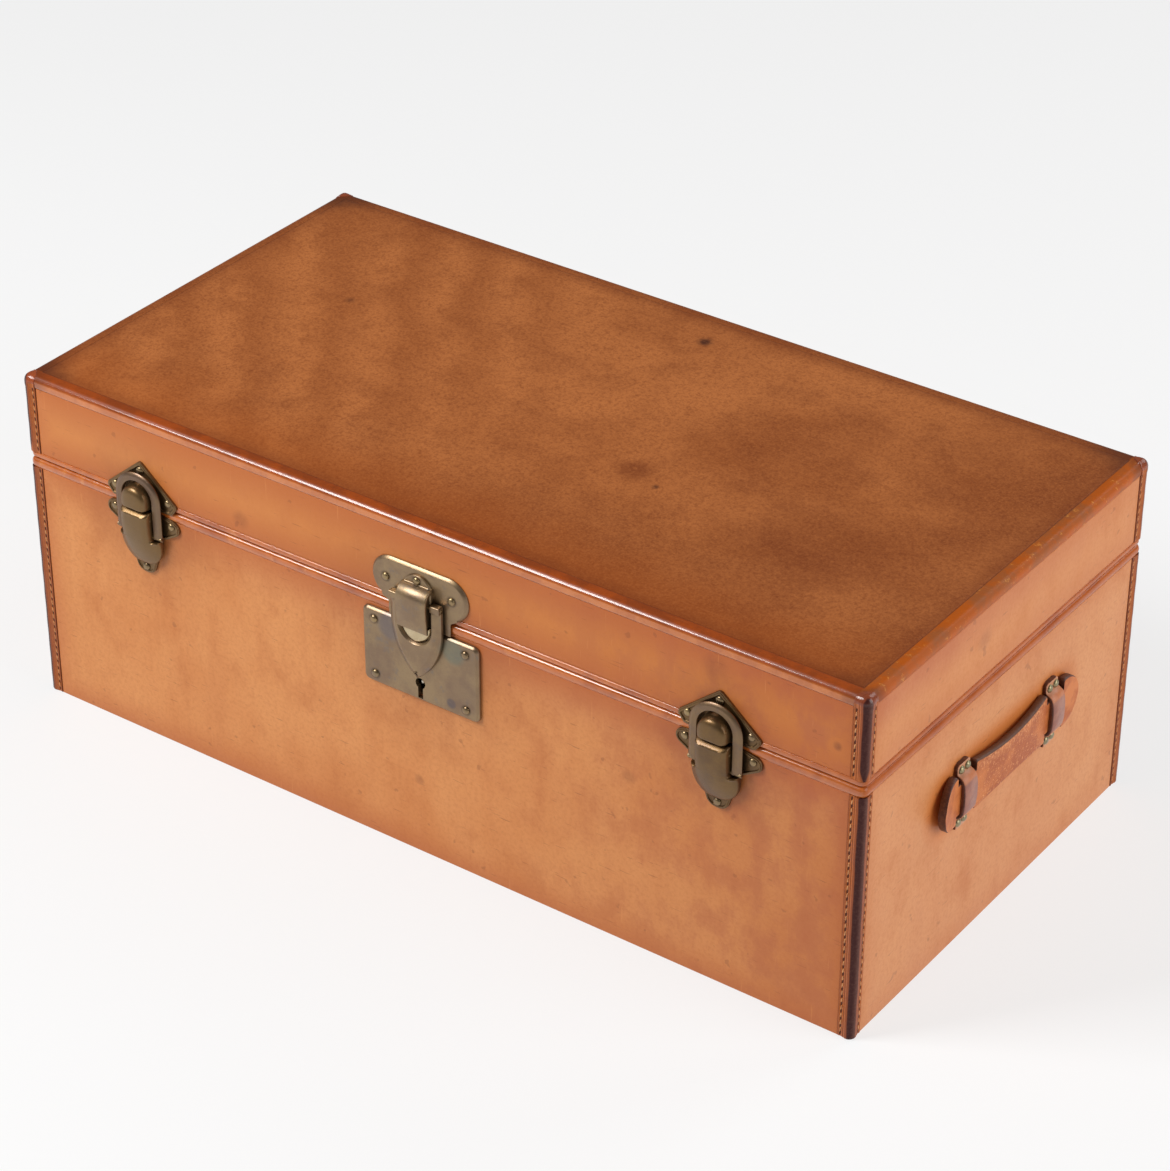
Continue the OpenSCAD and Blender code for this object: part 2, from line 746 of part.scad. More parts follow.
module hasp() color(old_brass) on_front(lock_x) {
    bevel = 0.8;
    difference() {
        union() {
            translate([0, 0, hasp_back]) linear_extrude(hasp_thickness - bevel) shield_outline(0);
            translate([0, 0, hasp_back]) linear_extrude(hasp_thickness) shield_outline(bevel);
            translate([-hasp_width / 2, hasp_pin_rise, hasp_pin_w]) rotate([0, 90, 0])
                cylinder(r = hasp_eye, h = hasp_width, $fn = round_fn);
        }
        block([-notch_half, catch_z, 0], [notch_half, 2 * lid_plate_height, latch_depth]);
        translate([0, catch_z, 0]) cylinder(r = notch_half, h = latch_depth, $fn = round_fn);
        block([-hasp_width, hasp_pin_rise, 0], [hasp_width, 60, hasp_pin_w - hasp_eye]);
        difference() {
            block([-hasp_width, hasp_pin_rise, 0], [hasp_width, 60, latch_depth]);
            translate([-hasp_width, hasp_pin_rise, hasp_pin_w]) rotate([0, 90, 0])
                cylinder(r = hasp_eye, h = 2 * hasp_width, $fn = round_fn);
        }
        translate([-hasp_width, hasp_pin_rise, hasp_pin_w]) rotate([0, 90, 0])
            cylinder(r = hasp_pin_radius + run_gap, h = 2 * hasp_width, $fn = round_fn);
    }
    difference() {
        block([-staple_half_x, staple_z - staple_half_z, staple_back],
              [staple_half_x, staple_z + staple_half_z, hasp_back + cut]);
        block([-2 * staple_half_x, staple_z - staple_eye_half, staple_eye_w - staple_eye_half],
              [2 * staple_half_x, staple_z + staple_eye_half, staple_eye_w + staple_eye_half]);
    }
}

module hasp_pin() color(old_brass) on_front(lock_x)
    translate([-hasp_width / 2, hasp_pin_rise, hasp_pin_w]) rotate([0, 90, 0])
        cylinder(r = hasp_pin_radius, h = hasp_width, $fn = round_fn);

// Latch base plate: two ears that narrow from the body outwards, and a tip at the bottom
module base_outline(inset) {
    hull() for (side = [-1, 1]) {
        translate([side * ear_x, ear_z]) circle(ear_radius - inset, $fn = outline_fn);
        translate([side * ear_root_x, ear_root_z]) circle(ear_root - inset, $fn = outline_fn);
        translate([side * ear_foot_x, ear_foot_z]) circle(ear_foot - inset, $fn = outline_fn);
    }
    hull() {
        for (side = [-1, 1]) translate([side * 13, -14.5]) circle(5 - inset, $fn = outline_fn);
        translate([0, base_tip + 5.4]) circle(5.4 - inset, $fn = outline_fn);
    }
}

module latch_base(x) color(old_brass) on_front(x) difference() {
    union() {
        linear_extrude(latch_plate) base_outline(0);
        linear_extrude(latch_plate + latch_edge) difference() {
            base_outline(0);
            base_outline(1.1);
            translate([-bail_half - bail_width - 1, base_tip + 12])
                square([2 * (bail_half + bail_width + 1), -base_tip]);
        }
        for (side = [0, 1]) mirror([side, 0, 0])
            translate([lug_half - lug_thickness, lever_pin_z, 0]) {
                block([0, -lug_radius, 0], [lug_thickness, lug_radius, lever_pin_w]);
                translate([0, 0, lever_pin_w]) rotate([0, 90, 0])
                    cylinder(r = lug_radius, h = lug_thickness, $fn = round_fn);
            }
    }
    drill(base_nails, nail_radius, nail_depth);
    translate([-neck_half - cut, lever_pin_z, lever_pin_w]) rotate([0, 90, 0])
        cylinder(r = latch_pin_radius + run_gap, h = 2 * (neck_half + cut), $fn = round_fn);
}

// Outline of the lever: a neck, two shoulders and a leaf with a round tip
module lever_outline(inset) {
    translate([inset - neck_half, shoulder_z - 4])
        square([2 * (neck_half - inset), lever_top - shoulder_z + 4]);
    hull() {
        for (side = [-1, 1]) {
            translate([side * (shoulder_half - 1.5), shoulder_z - 1.5])
                circle(max(1.5 - inset, 0.1), $fn = outline_fn);
            translate([side * (shoulder_half - 8.5), shoulder_z - 8])
                circle(8 - inset, $fn = outline_fn);
        }
        translate([0, lever_tip + 6]) circle(6 - inset, $fn = outline_fn);
    }
}

// Barrel that gives the lever its double curve, thinner by the given wall
module lever_barrel(wall) {
    ring = lever_along - lever_across;
    translate([0, lever_crest_z, latch_depth - lever_along]) rotate([0, 90, 0])
        rotate_extrude($fn = 4 * round_fn) translate([ring, 0])
            intersection() {
                circle(lever_across - wall, $fn = 4 * round_fn);
                translate([1 - ring, -shoulder_half - 2])
                    square([lever_along, 2 * shoulder_half + 4]);
            }
}

module latch_lever(x) color(old_brass) on_front(x) difference() {
    tall = 2 * latch_depth;
    intersection() {
        linear_extrude(tall) lever_outline(0);
        difference() {
            lever_barrel(0);
            intersection() {
                lever_barrel(lever_wall);
                translate([0, 0, -cut]) linear_extrude(tall) lever_outline(lever_wall);
            }
        }
        translate([0, 0, flange_back]) block([-2 * neck_half, lever_tip, 0], [2 * neck_half, 0, tall]);
    }
    // Both ends of the top are rounded about the pin, to clear the base plate and the dome
    difference() {
        block([-2 * neck_half, lever_pin_z, 0], [2 * neck_half, 0, lever_pin_w]);
        translate([-2 * neck_half, lever_pin_z, lever_pin_w]) rotate([0, 90, 0])
            cylinder(r = lever_pin_w - flange_back, h = 4 * neck_half, $fn = round_fn);
    }
    difference() {
        block([-2 * neck_half, lever_pin_z, lever_pin_w], [2 * neck_half, 0, tall]);
        translate([-2 * neck_half, lever_pin_z, lever_pin_w]) rotate([0, 90, 0])
            cylinder(r = dome_bottom - lever_pin_z - swing_gap, h = 4 * neck_half, $fn = round_fn);
    }
    for (at = [[lever_pin_z, lever_pin_w], [bail_pin_z, bail_pin_w]])
        translate([-2 * neck_half, at[0], at[1]]) rotate([0, 90, 0])
            cylinder(r = latch_pin_radius + run_gap, h = 4 * neck_half, $fn = round_fn);
}

module latch_lever_pins() color(old_brass) for (side = [-1, 1]) on_front(side * latch_x)
    translate([-neck_half, lever_pin_z, lever_pin_w]) rotate([0, 90, 0])
        cylinder(r = latch_pin_radius, h = 2 * neck_half, $fn = round_fn);

// Bail: an arch with two legs and an eye at the foot of each leg
module latch_bail(x) color(old_brass) on_front(x) difference() {
    outer = bail_half + bail_width;
    union() {
        translate([0, 0, bail_back]) linear_extrude(bail_thickness) difference() {
            union() {
                translate([0, bail_arch_z - 0.9]) circle(outer, $fn = 2 * round_fn);
                translate([-outer, bail_pin_z]) square([2 * outer, bail_arch_z - bail_pin_z - 0.9]);
            }
            translate([0, bail_arch_z]) circle(bail_half, $fn = 2 * round_fn);
            translate([-bail_half, bail_pin_z - cut])
                square([2 * bail_half, bail_arch_z - bail_pin_z + cut]);
            translate([-outer - cut, -3 * outer + bail_pin_z]) square([2 * outer + 2 * cut, 3 * outer]);
        }
        for (side = [0, 1]) mirror([side, 0, 0])
            translate([bail_half, bail_pin_z, bail_pin_w]) rotate([0, 90, 0])
                cylinder(r = bail_eye, h = bail_width, $fn = round_fn);
    }
    translate([-outer - cut, bail_pin_z, bail_pin_w]) rotate([0, 90, 0])
        cylinder(r = latch_pin_radius + run_gap, h = 2 * (outer + cut), $fn = round_fn);
}

module bail_pin(x) color(old_brass) on_front(x)
    translate([-bail_half - bail_width, bail_pin_z, bail_pin_w]) rotate([0, 90, 0])
        cylinder(r = latch_pin_radius, h = 2 * (bail_half + bail_width), $fn = round_fn);

// Catch plate on the lid: a shield with a raised edge and a dome that the bail hooks over
module catch_outline(inset) hull() {
    r = shield_round - inset;
    translate([0, shield_apex - shield_round]) circle(r, $fn = outline_fn);
    for (side = [-1, 1]) {
        translate([side * (shield_half - shield_round), shield_low + 3]) circle(r, $fn = outline_fn);
        translate([side * (shield_half - shield_round - 2.3), shield_low]) circle(r, $fn = outline_fn);
    }
}

module dome_outline() {
    translate([0, dome_centre_z]) circle(dome_half, $fn = 2 * round_fn);
    translate([-dome_half, dome_bottom]) square([2 * dome_half, dome_centre_z - dome_bottom]);
}

module latch_catch(x) color(old_brass) on_front(x) difference() {
    union() {
        linear_extrude(latch_plate) catch_outline(0);
        linear_extrude(latch_plate + latch_edge) difference() {
            catch_outline(0);
            catch_outline(1.2);
        }
        intersection() {
            translate([0, 0, tongue_back]) linear_extrude(latch_depth) difference() {
                dome_outline();
                translate([-2 * dome_half, dome_bottom - 20]) square([4 * dome_half, 20]);
            }
            translate([0, dome_centre_z, latch_depth - dome_ball]) sphere(dome_ball, $fn = 3 * round_fn);
        }
        translate([0, 0, latch_plate / 2]) linear_extrude(latch_plate) intersection() {
            dome_outline();
            translate([-dome_half, 1]) square([2 * dome_half, 2 * dome_half]);
        }
    }
    drill(catch_nails, nail_radius, nail_depth);
}

module latch_base_nails() color(old_brass) for (side = [-1, 1])
    on_front(side * latch_x) nails(base_nails, latch_plate, nail_depth);

module latch_catch_nails() color(old_brass) for (side = [-1, 1])
    on_front(side * latch_x) nails(catch_nails, latch_plate, nail_depth);

// Hinge: even knuckles belong to one leaf and odd ones to the other
module hinge_leaf(first) {
    half = hinge_length / 2;
    axis_w = knuckle_radius + axis_gap;
    difference() {
        union() {
            block([-half, knuckle_gap, 0], [half, leaf_height, leaf_thickness]);
            for (i = [first : 2 : knuckle_count - 1])
                translate([i * knuckle_pitch - half + knuckle_gap, 0, axis_w]) rotate([0, 90, 0])
                    cylinder(r = knuckle_radius, h = knuckle_pitch - 2 * knuckle_gap, $fn = round_fn);
        }
        for (i = [1 - first : 2 : knuckle_count - 1])
            translate([i * knuckle_pitch - half - knuckle_gap, 0, axis_w]) rotate([0, 90, 0])
                cylinder(r = knuckle_radius + 0.25, h = knuckle_pitch + 2 * knuckle_gap, $fn = round_fn);
        translate([-half - cut, 0, axis_w]) rotate([0, 90, 0])
            cylinder(r = hinge_pin_radius + run_gap, h = hinge_length + 2 * cut, $fn = round_fn);
        drill(hinge_nails, nail_radius, nail_depth);
    }
}

module hinge_case_leaf() color(old_brass) on_back() mirror([0, 1, 0]) hinge_leaf(0);

module hinge_lid_leaf() color(old_brass) on_back() hinge_leaf(1);

module hinge_pin() color(old_brass)
    translate([-hinge_length / 2, axis_y, axis_z]) rotate([0, 90, 0])
        cylinder(r = hinge_pin_radius, h = hinge_length, $fn = round_fn);

module hinge_case_nails() color(old_brass) on_back() mirror([0, 1, 0])
    nails(hinge_nails, leaf_thickness, nail_depth);

module hinge_lid_nails() color(old_brass) on_back() nails(hinge_nails, leaf_thickness, nail_depth);

// Handle strap seen from the front: a grip, two necks and two round ends
module strap_outline() {
    waist = (grip_half * grip_half + grip_waist * grip_waist) / (2 * grip_waist);
    difference() {
        square([2 * grip_half, strap_width], center = true);
        for (side = [-1, 1]) translate([0, side * (strap_width / 2 - grip_waist + waist)])
            circle(waist, $fn = 12 * round_fn);
    }
    square([2 * (tab_start + cut), neck_width], center = true);
    for (side = [-1, 1]) intersection() {
        translate([side * (strap_length / 2 - tab_radius), 0]) circle(tab_radius, $fn = 2 * round_fn);
        translate([side * (tab_start + strap_length / 2), 0])
            square([strap_length, 2 * strap_width], center = true);
    }
}

// Section of the strap along its length: flat ends and a bowed grip
module strap_profile() {
    reach = grip_half;
    arc = (reach * reach + grip_bow * grip_bow) / (2 * grip_bow);
    module lifted(lift) intersection() {
        translate([0, lift + grip_bow - arc]) circle(arc, $fn = 12 * round_fn);
        translate([-reach, lift]) square([2 * reach, grip_bow + cut]);
    }
    difference() {
        union() {
            translate([-strap_length / 2, strap_back]) square([strap_length, strap_thickness]);
            lifted(strap_back + strap_thickness - 0.01);
        }
        lifted(strap_back - 0.01);
    }
}

module handle_strap() intersection() {
    linear_extrude(4 * strap_thickness, center = true) strap_outline();
    translate([0, strap_width, 0]) rotate([90, 0, 0]) linear_extrude(2 * strap_width) strap_profile();
}

// Keeper: a leather loop over a neck of the strap, with a flat foot above and below
module handle_keeper() {
    loop_z = keeper_inner_z + keeper_thickness;
    loop_w = keeper_inner_w + keeper_thickness;
    foot_z = loop_z + keeper_foot - keeper_thickness;
    round_in = 2.5;
    translate([-keeper_width / 2, 0, 0]) rotate([90, 0, 90]) linear_extrude(keeper_width)
        difference() {
            union() {
                translate([-loop_z + round_in + 2, 0]) square([2 * (loop_z - round_in - 2), loop_w]);
                for (side = [-1, 1]) translate([side * (loop_z - round_in - 2), 0])
                    intersection() {
                        translate([0, loop_w - round_in - 2]) circle(round_in + 2, $fn = round_fn);
                        translate([-loop_z, 0]) square([2 * loop_z, loop_w]);
                    }
                translate([-loop_z, 0]) square([2 * loop_z, loop_w - round_in - 2]);
                translate([-foot_z, 0]) square([2 * foot_z, keeper_thickness]);
            }
            translate([-keeper_inner_z, -cut]) square([2 * keeper_inner_z, keeper_inner_w + cut]);
        }
}

module handle_keepers() difference() {
    for (side = [-1, 1]) translate([side * keeper_x, 0, 0]) handle_keeper();
    drill(rivet_places, rivet_radius, nail_depth);
}

module left_handle_strap() color(brown_leather) on_left_end() handle_strap();

module right_handle_strap() color(brown_leather) on_right_end() handle_strap();

module left_handle_keepers() color(brown_leather) on_left_end() handle_keepers();

module right_handle_keepers() color(brown_leather) on_right_end() handle_keepers();

module handle_rivets() color(pale_metal) {
    on_left_end() nails(rivet_places, keeper_thickness, nail_depth, rivet_radius, rivet_head);
    on_right_end() nails(rivet_places, keeper_thickness, nail_depth, rivet_radius, rivet_head);
}

case_front_board();
case_back_board();
case_end_boards();
case_bottom_board();
case_front_leather();
case_back_leather();
case_end_leathers();
case_bottom_leather();
case_rim_bead();
case_corner_welts();
inner_frame();
case_lining();
lid_top_board();
lid_front_board();
lid_back_board();
lid_end_boards();
lid_top_leather();
lid_front_leather();
lid_back_leather();
lid_end_leathers();
lid_rim_binding();
lid_corner_welts();
lid_lining();
lock_plate();
lock_plate_nails();
lock_housing();
lock_bolt();
lock_key_pin();
thumb_catch();
thumb_catch_spring();
lid_lock_plate();
lid_lock_nails();
hasp_bracket();
hasp();
hasp_pin();
latch_base(-latch_x);  // left_latch_base
latch_base(latch_x);  // right_latch_base
latch_base_nails();
latch_lever_pins();
latch_lever(-latch_x);  // left_latch_lever
latch_lever(latch_x);  // right_latch_lever
latch_bail(-latch_x);  // left_latch_bail
latch_bail(latch_x);  // right_latch_bail
bail_pin(-latch_x);  // left_bail_pin
bail_pin(latch_x);  // right_bail_pin
latch_catch(-latch_x);  // left_latch_catch
latch_catch(latch_x);  // right_latch_catch
latch_catch_nails();
hinge_case_leaf();
hinge_lid_leaf();
hinge_pin();
hinge_case_nails();
hinge_lid_nails();
left_handle_strap();
right_handle_strap();
left_handle_keepers();
right_handle_keepers();
handle_rivets();
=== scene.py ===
# %% [markdown]
# # A leather travel trunk
# The trunk is a box of boards under waxed cowhide. Its lid closes on a rolled leather bead, its upright
# corners are sewn welts, and brass locks hold it shut. The packed model is loaded first and never changed:
# it gives each piece its place and its body, and the cells below dress it.

# %% Load the packed model
import math
from functools import reduce
from operator import add

import bpy
import numpy as np
from mathutils import Matrix, Vector
from mathutils.geometry import convex_hull_2d, tessellate_polygon


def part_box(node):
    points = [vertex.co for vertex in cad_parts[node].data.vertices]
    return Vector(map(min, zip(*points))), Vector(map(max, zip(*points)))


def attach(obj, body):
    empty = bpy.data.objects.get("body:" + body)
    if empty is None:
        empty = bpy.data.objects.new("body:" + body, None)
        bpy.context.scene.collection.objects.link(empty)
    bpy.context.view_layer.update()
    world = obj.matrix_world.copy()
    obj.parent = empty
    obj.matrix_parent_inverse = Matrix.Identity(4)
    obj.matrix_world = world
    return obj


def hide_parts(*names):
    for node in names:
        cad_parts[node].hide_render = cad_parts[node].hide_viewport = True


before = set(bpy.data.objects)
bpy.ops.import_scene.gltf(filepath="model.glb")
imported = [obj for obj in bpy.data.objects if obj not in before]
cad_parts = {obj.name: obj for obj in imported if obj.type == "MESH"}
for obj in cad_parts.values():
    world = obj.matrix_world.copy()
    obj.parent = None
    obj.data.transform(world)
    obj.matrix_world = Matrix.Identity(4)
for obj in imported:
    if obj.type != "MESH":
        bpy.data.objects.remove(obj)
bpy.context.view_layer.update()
print("nodes in the frame:", len(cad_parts))

# %% [markdown]
# The frame also holds the planes that everything is set against: the faces of the leather, the corner welts
# that stand proud of them, the seam between case and lid, and the top. They could be typed in as numbers,
# but read from the nodes' boxes they keep the dressed trunk and the packed one in step. Small hardware is
# drawn in millimetres.

# %% Read the main planes
MM = 0.001


def reach(node):
    """Lowest and highest corner of a node, as arrays in millimetres."""
    low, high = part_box(node)
    return np.array(low) / MM, np.array(high) / MM


FACE_Y = -reach("case_front_leather")[0][1]
FACE_X = reach("case_end_leathers")[1][0]
HALF_X, HALF_Y = reach("case_corner_welts")[1][:2]
CASE_TOP = reach("case_rim_bead")[1][2]
LID_BOTTOM = reach("lid_rim_binding")[0][2]
BEAD_BOTTOM = reach("case_rim_bead")[0][2]
BINDING_TOP = reach("lid_rim_binding")[1][2]
TOP = reach("lid_top_leather")[1][2]
TURN_BOTTOM = reach("lid_top_leather")[0][2]
SEAM = (CASE_TOP + LID_BOTTOM) / 2
CORNER = 4.5
LEATHER = FACE_Y + reach("case_front_board")[0][1]
print(f"faces at {FACE_X:.1f} and {FACE_Y:.1f} mm, seam at {SEAM:.1f}, top at {TOP:.1f}")
print(f"leather {LEATHER:.1f} mm thick")

# %% [markdown]
# The camera comes early, so that every later choice can be checked in its view. It could be placed by eye,
# but a box shows every error of perspective, so its place was solved from the seven corners of the trunk
# that can be seen. That gives a long lens from the front and right, above.

# %% Set up the camera
AZIMUTH, ELEVATION, ROLL = (math.radians(a) for a in (35.54357, 32.38065, 0.14646))
CAMERA_PLACE = Vector((1.088321, -1.512560, 1.292528))
FOCAL_PIXELS, IMAGE_WIDTH, SENSOR_WIDTH = 3565.7, 1170, 36


def add_camera():
    """Camera looking along its azimuth and elevation: its axes are worked out from the three angles."""
    level = math.cos(ELEVATION)
    back = Vector((math.sin(AZIMUTH) * level, -math.cos(AZIMUTH) * level, math.sin(ELEVATION)))
    right = Vector((math.cos(AZIMUTH), math.sin(AZIMUTH), 0))
    up = back.cross(right)
    turned_right = math.cos(ROLL) * right + math.sin(ROLL) * up
    turned_up = math.cos(ROLL) * up - math.sin(ROLL) * right
    data = bpy.data.cameras.new("camera")
    data.sensor_fit = "HORIZONTAL"
    data.sensor_width = SENSOR_WIDTH
    data.lens = SENSOR_WIDTH * FOCAL_PIXELS / IMAGE_WIDTH
    camera = bpy.data.objects.new("camera", data)
    camera.matrix_world = Matrix((turned_right, turned_up, back)).transposed().to_4x4()
    camera.location = CAMERA_PLACE
    bpy.context.scene.collection.objects.link(camera)
    bpy.context.scene.camera = camera
    print(f"camera lens {data.lens:.1f} mm")


add_camera()

# %% [markdown]
# The trunk was photographed in soft studio light. A panorama of a studio could light it, but lamps can be
# aimed. One large lamp above the front left draws the bright lines along the rounded edges and falls off
# towards the right; a second, wider one lifts the right end, and a third lights the back. Pale surroundings
# fill the rest. They are seen brighter than they shine, so that a low view has a pale backdrop above the
# floor's far edge as well.

# %% Set up the lamps
# Each lamp's name, its place and size in metres, and its power in watts.
LAMPS = (("key", (-1.15, -1.35, 1.75), 0.9, 46), ("fill", (2.1, 0.35, 1.0), 1.6, 27),
         ("back", (0.9, 1.9, 1.6), 1.2, 12))
LAMP_TARGET = Vector((0, 0, 0.12))


def lamp(name, place, size, power):
    """Square area lamp that faces the trunk."""
    data = bpy.data.lights.new(name, "AREA")
    data.size = size
    data.energy = power
    light = bpy.data.objects.new(name, data)
    light.location = place
    light.rotation_euler = (Vector(place) - LAMP_TARGET).to_track_quat("Z", "Y").to_euler()
    bpy.context.scene.collection.objects.link(light)


for one in LAMPS:
    lamp(*one)
print("lamps:", len(LAMPS))

# %% Set up the surroundings and the floor
SHINES, SEEN_BRIGHTER_BY = 0.15, 0.58
WHITE = (1, 1, 1, 1)
FLOOR_SPAN = 30
FLOOR_GREY, FLOOR_ROUGHNESS, FLOOR_GLOW = (0.27, 0.27, 0.27, 1), 0.9, 0.68


def add_surroundings():
    """White light from all round: its strength is what it shines, and more where the camera sees it."""
    world = bpy.data.worlds.new("surroundings")
    world.use_nodes = True
    tree = world.node_tree
    sky = tree.nodes["Background"]
    sky.inputs["Color"].default_value = WHITE
    ray = tree.nodes.new("ShaderNodeLightPath")
    strength = tree.nodes.new("ShaderNodeMath")
    strength.operation = "MULTIPLY_ADD"
    strength.inputs[1].default_value = SEEN_BRIGHTER_BY
    strength.inputs[2].default_value = SHINES
    tree.links.new(ray.outputs["Is Camera Ray"], strength.inputs[0])
    tree.links.new(strength.outputs[0], sky.inputs["Strength"])
    bpy.context.scene.world = world


def add_floor():
    """Pale matt floor; a faint glow of its own keeps it pale to its far edge."""
    mesh = bpy.data.meshes.new("floor")
    far = FLOOR_SPAN
    mesh.from_pydata([(-far, -far, 0), (far, -far, 0), (far, far, 0), (-far, far, 0)], [], [(0, 1, 2, 3)])
    floor = bpy.data.objects.new("floor", mesh)
    paint = bpy.data.materials.new("floor_paint")
    paint.use_nodes = True
    shader = paint.node_tree.nodes["Principled BSDF"]
    shader.inputs["Base Color"].default_value = FLOOR_GREY
    shader.inputs["Roughness"].default_value = FLOOR_ROUGHNESS
    shader.inputs["Emission Color"].default_value = WHITE
    shader.inputs["Emission Strength"].default_value = FLOOR_GLOW
    mesh.materials.append(paint)
    bpy.context.scene.collection.objects.link(floor)


add_surroundings()
add_floor()
bpy.context.scene.view_settings.view_transform = "Standard"
print("floor", 2 * FLOOR_SPAN, "m wide")

# %% [markdown]
# A finish could be wired up node by node, but arithmetic is easier to read and to change than a list of
# nodes. `Value` wraps a socket, and its operators add Math nodes; `Finish` is one material, whose `node`
# method makes any other node.

# %% Write shader maths as Python
class Value:
    """An output socket of a finish. Python's operators on it add Math nodes, which give a Value again."""

    def __init__(self, finish, socket):
        self.finish = finish
        self.socket = socket

    def math(self, operation, first, second=0.0):
        """The result of one Math node."""
        return self.finish.node("ShaderNodeMath", {"operation": operation}, {0: first, 1: second})

    def __add__(self, other):
        return self.math("ADD", self, other)

    def __radd__(self, other):
        return self.math("ADD", other, self)

    def __sub__(self, other):
        return self.math("SUBTRACT", self, other)

    def __rsub__(self, other):
        return self.math("SUBTRACT", other, self)

    def __mul__(self, other):
        return self.math("MULTIPLY", self, other)

    def __rmul__(self, other):
        return self.math("MULTIPLY", other, self)

    def __truediv__(self, other):
        return self.math("DIVIDE", self, other)

    def __abs__(self):
        return self.math("ABSOLUTE", self)

    def root(self):
        """The square root."""
        return self.math("SQRT", self)

    def wave(self, period):
        """From 0 to 1 and back in every period."""
        return self.math("COSINE", self * (2 * math.pi / period)) * 0.5 + 0.5

    def least(self, other):
        """The smaller of the two."""
        return self.math("MINIMUM", self, other)

    def most(self, other):
        """The larger of the two."""
        return self.math("MAXIMUM", self, other)

    def wrapped(self, span):
        """The remainder after whole spans, from 0 to span."""
        return self.math("FLOORED_MODULO", self, span)

    def rise(self, start, end):
        """0 at start and 1 at end, smooth between them, whichever is larger."""
        return self.finish.node("ShaderNodeMapRange", {"interpolation_type": "SMOOTHSTEP"},
                                {"Value": self, "From Min": start, "From Max": end})


print("a value has", sum(map(callable, vars(Value).values())), "methods")


# %% Collect nodes in a finish
class Finish:
    """One procedural material, read in the trunk's own coordinates, in millimetres."""

    def __init__(self, name):
        self.material = bpy.data.materials.new(name)
        self.material.use_nodes = True
        self.tree = self.material.node_tree
        self.tree.nodes.clear()
        self.place = self.scaled(self.node("ShaderNodeTexCoord", out="Object"), (1 / MM,) * 3)
        self.x, self.y, self.z = self.parts(self.place)

    def node(self, kind, settings=None, inputs=None, out=0):
        """Adds a node of that type with its settings, fills its sockets and returns one output, if any."""
        made = self.tree.nodes.new(kind)
        for key, value in (settings or {}).items():
            setattr(made, key, value)
        for key, value in (inputs or {}).items():
            if isinstance(value, Value):
                self.tree.links.new(value.socket, made.inputs[key])
            else:
                made.inputs[key].default_value = value
        return Value(self, made.outputs[out]) if len(made.outputs) else None

    def parts(self, vector):
        """The three components of a vector."""
        split = self.node("ShaderNodeSeparateXYZ", None, {0: vector})
        outputs = split.socket.node.outputs
        return [Value(self, outputs[i]) for i in range(3)]

    def scaled(self, vector, factors):
        """A vector with each component times its own factor."""
        return self.node("ShaderNodeVectorMath", {"operation": "MULTIPLY"}, {0: vector, 1: factors})

    def noise(self, size, detail=3.0, roughness=0.55, stretch=(1, 1, 1), offset=0.0):
        """Cloudy value from 0 to 1 whose features are about size millimetres across."""
        place = self.scaled(self.place, tuple(1 / (size * s) for s in stretch))
        place = self.node("ShaderNodeVectorMath", {"operation": "ADD"}, {0: place, 1: (offset,) * 3})
        return self.node("ShaderNodeTexNoise", None,
                         {"Vector": place, "Scale": 1.0, "Detail": detail, "Roughness": roughness})

    def cells(self, size):
        """Distance to scattered points that lie about size millimetres apart."""
        place = self.scaled(self.place, (1 / size,) * 3)
        return self.node("ShaderNodeTexVoronoi", {"feature": "F1"}, {"Vector": place, "Scale": 1.0})

    def mix(self, share, first, second):
        """Colour between two colours. The node names its sockets alike for each kind of data, so those of
        colours are given by number: 6 and 7, and the output 2."""
        return self.node("ShaderNodeMix", {"data_type": "RGBA"}, {0: share, 6: first, 7: second}, out=2)

    def spot(self, centre, radius, blur=0.35):
        """1 within radius millimetres of a point, fading to 0 over the blur's share of the radius."""
        gap = self.node("ShaderNodeVectorMath", {"operation": "DISTANCE"},
                        {0: self.place, 1: centre}, out="Value")
        return gap.rise(radius * (1 + blur), radius * (1 - blur))

    def close(self, colour, roughness, height, depth, **others):
        """Principled shader with a bump of so many millimetres, and its other sockets by their names."""
        bump = {"Strength": 1.0, "Distance": depth * MM, "Height": height}
        inputs = {"Base Color": colour, "Roughness": roughness,
                  "Normal": self.node("ShaderNodeBump", None, bump, out="Normal")}
        inputs.update({key.replace("_", " "): value for key, value in others.items()})
        shader = self.node("ShaderNodeBsdfPrincipled", None, inputs)
        self.node("ShaderNodeOutputMaterial", None, {"Surface": shader})
        return self.material


print("a finish has", sum(map(callable, vars(Finish).values())), "methods")


# %% Turn screen colours into light
def srgb(red, green, blue):
    """Linear opaque colour of a screen colour given in 0 to 255: a straight line near black, and above it a
    power of 2.4."""
    shares = [c / 255 for c in (red, green, blue)]
    return (*(s / 12.92 if s <= 0.0404 else ((s + 0.055) / 1.055) ** 2.4 for s in shares), 1)


print("mid grey is", round(srgb(128, 128, 128)[0], 3), "in linear light")

# %% [markdown]
# Every new piece is a surface worked out with arrays. It could be modelled by hand or cut out with
# modifiers, but a formula keeps each size in sight and puts faces only where the surface bends. `Shape`
# holds the points and faces in millimetres; shapes are added together, placed on a face of the trunk and
# made into one mesh. Its helpers are the few ways in which the real pieces were made: rolled, stamped,
# turned and bent along a path.

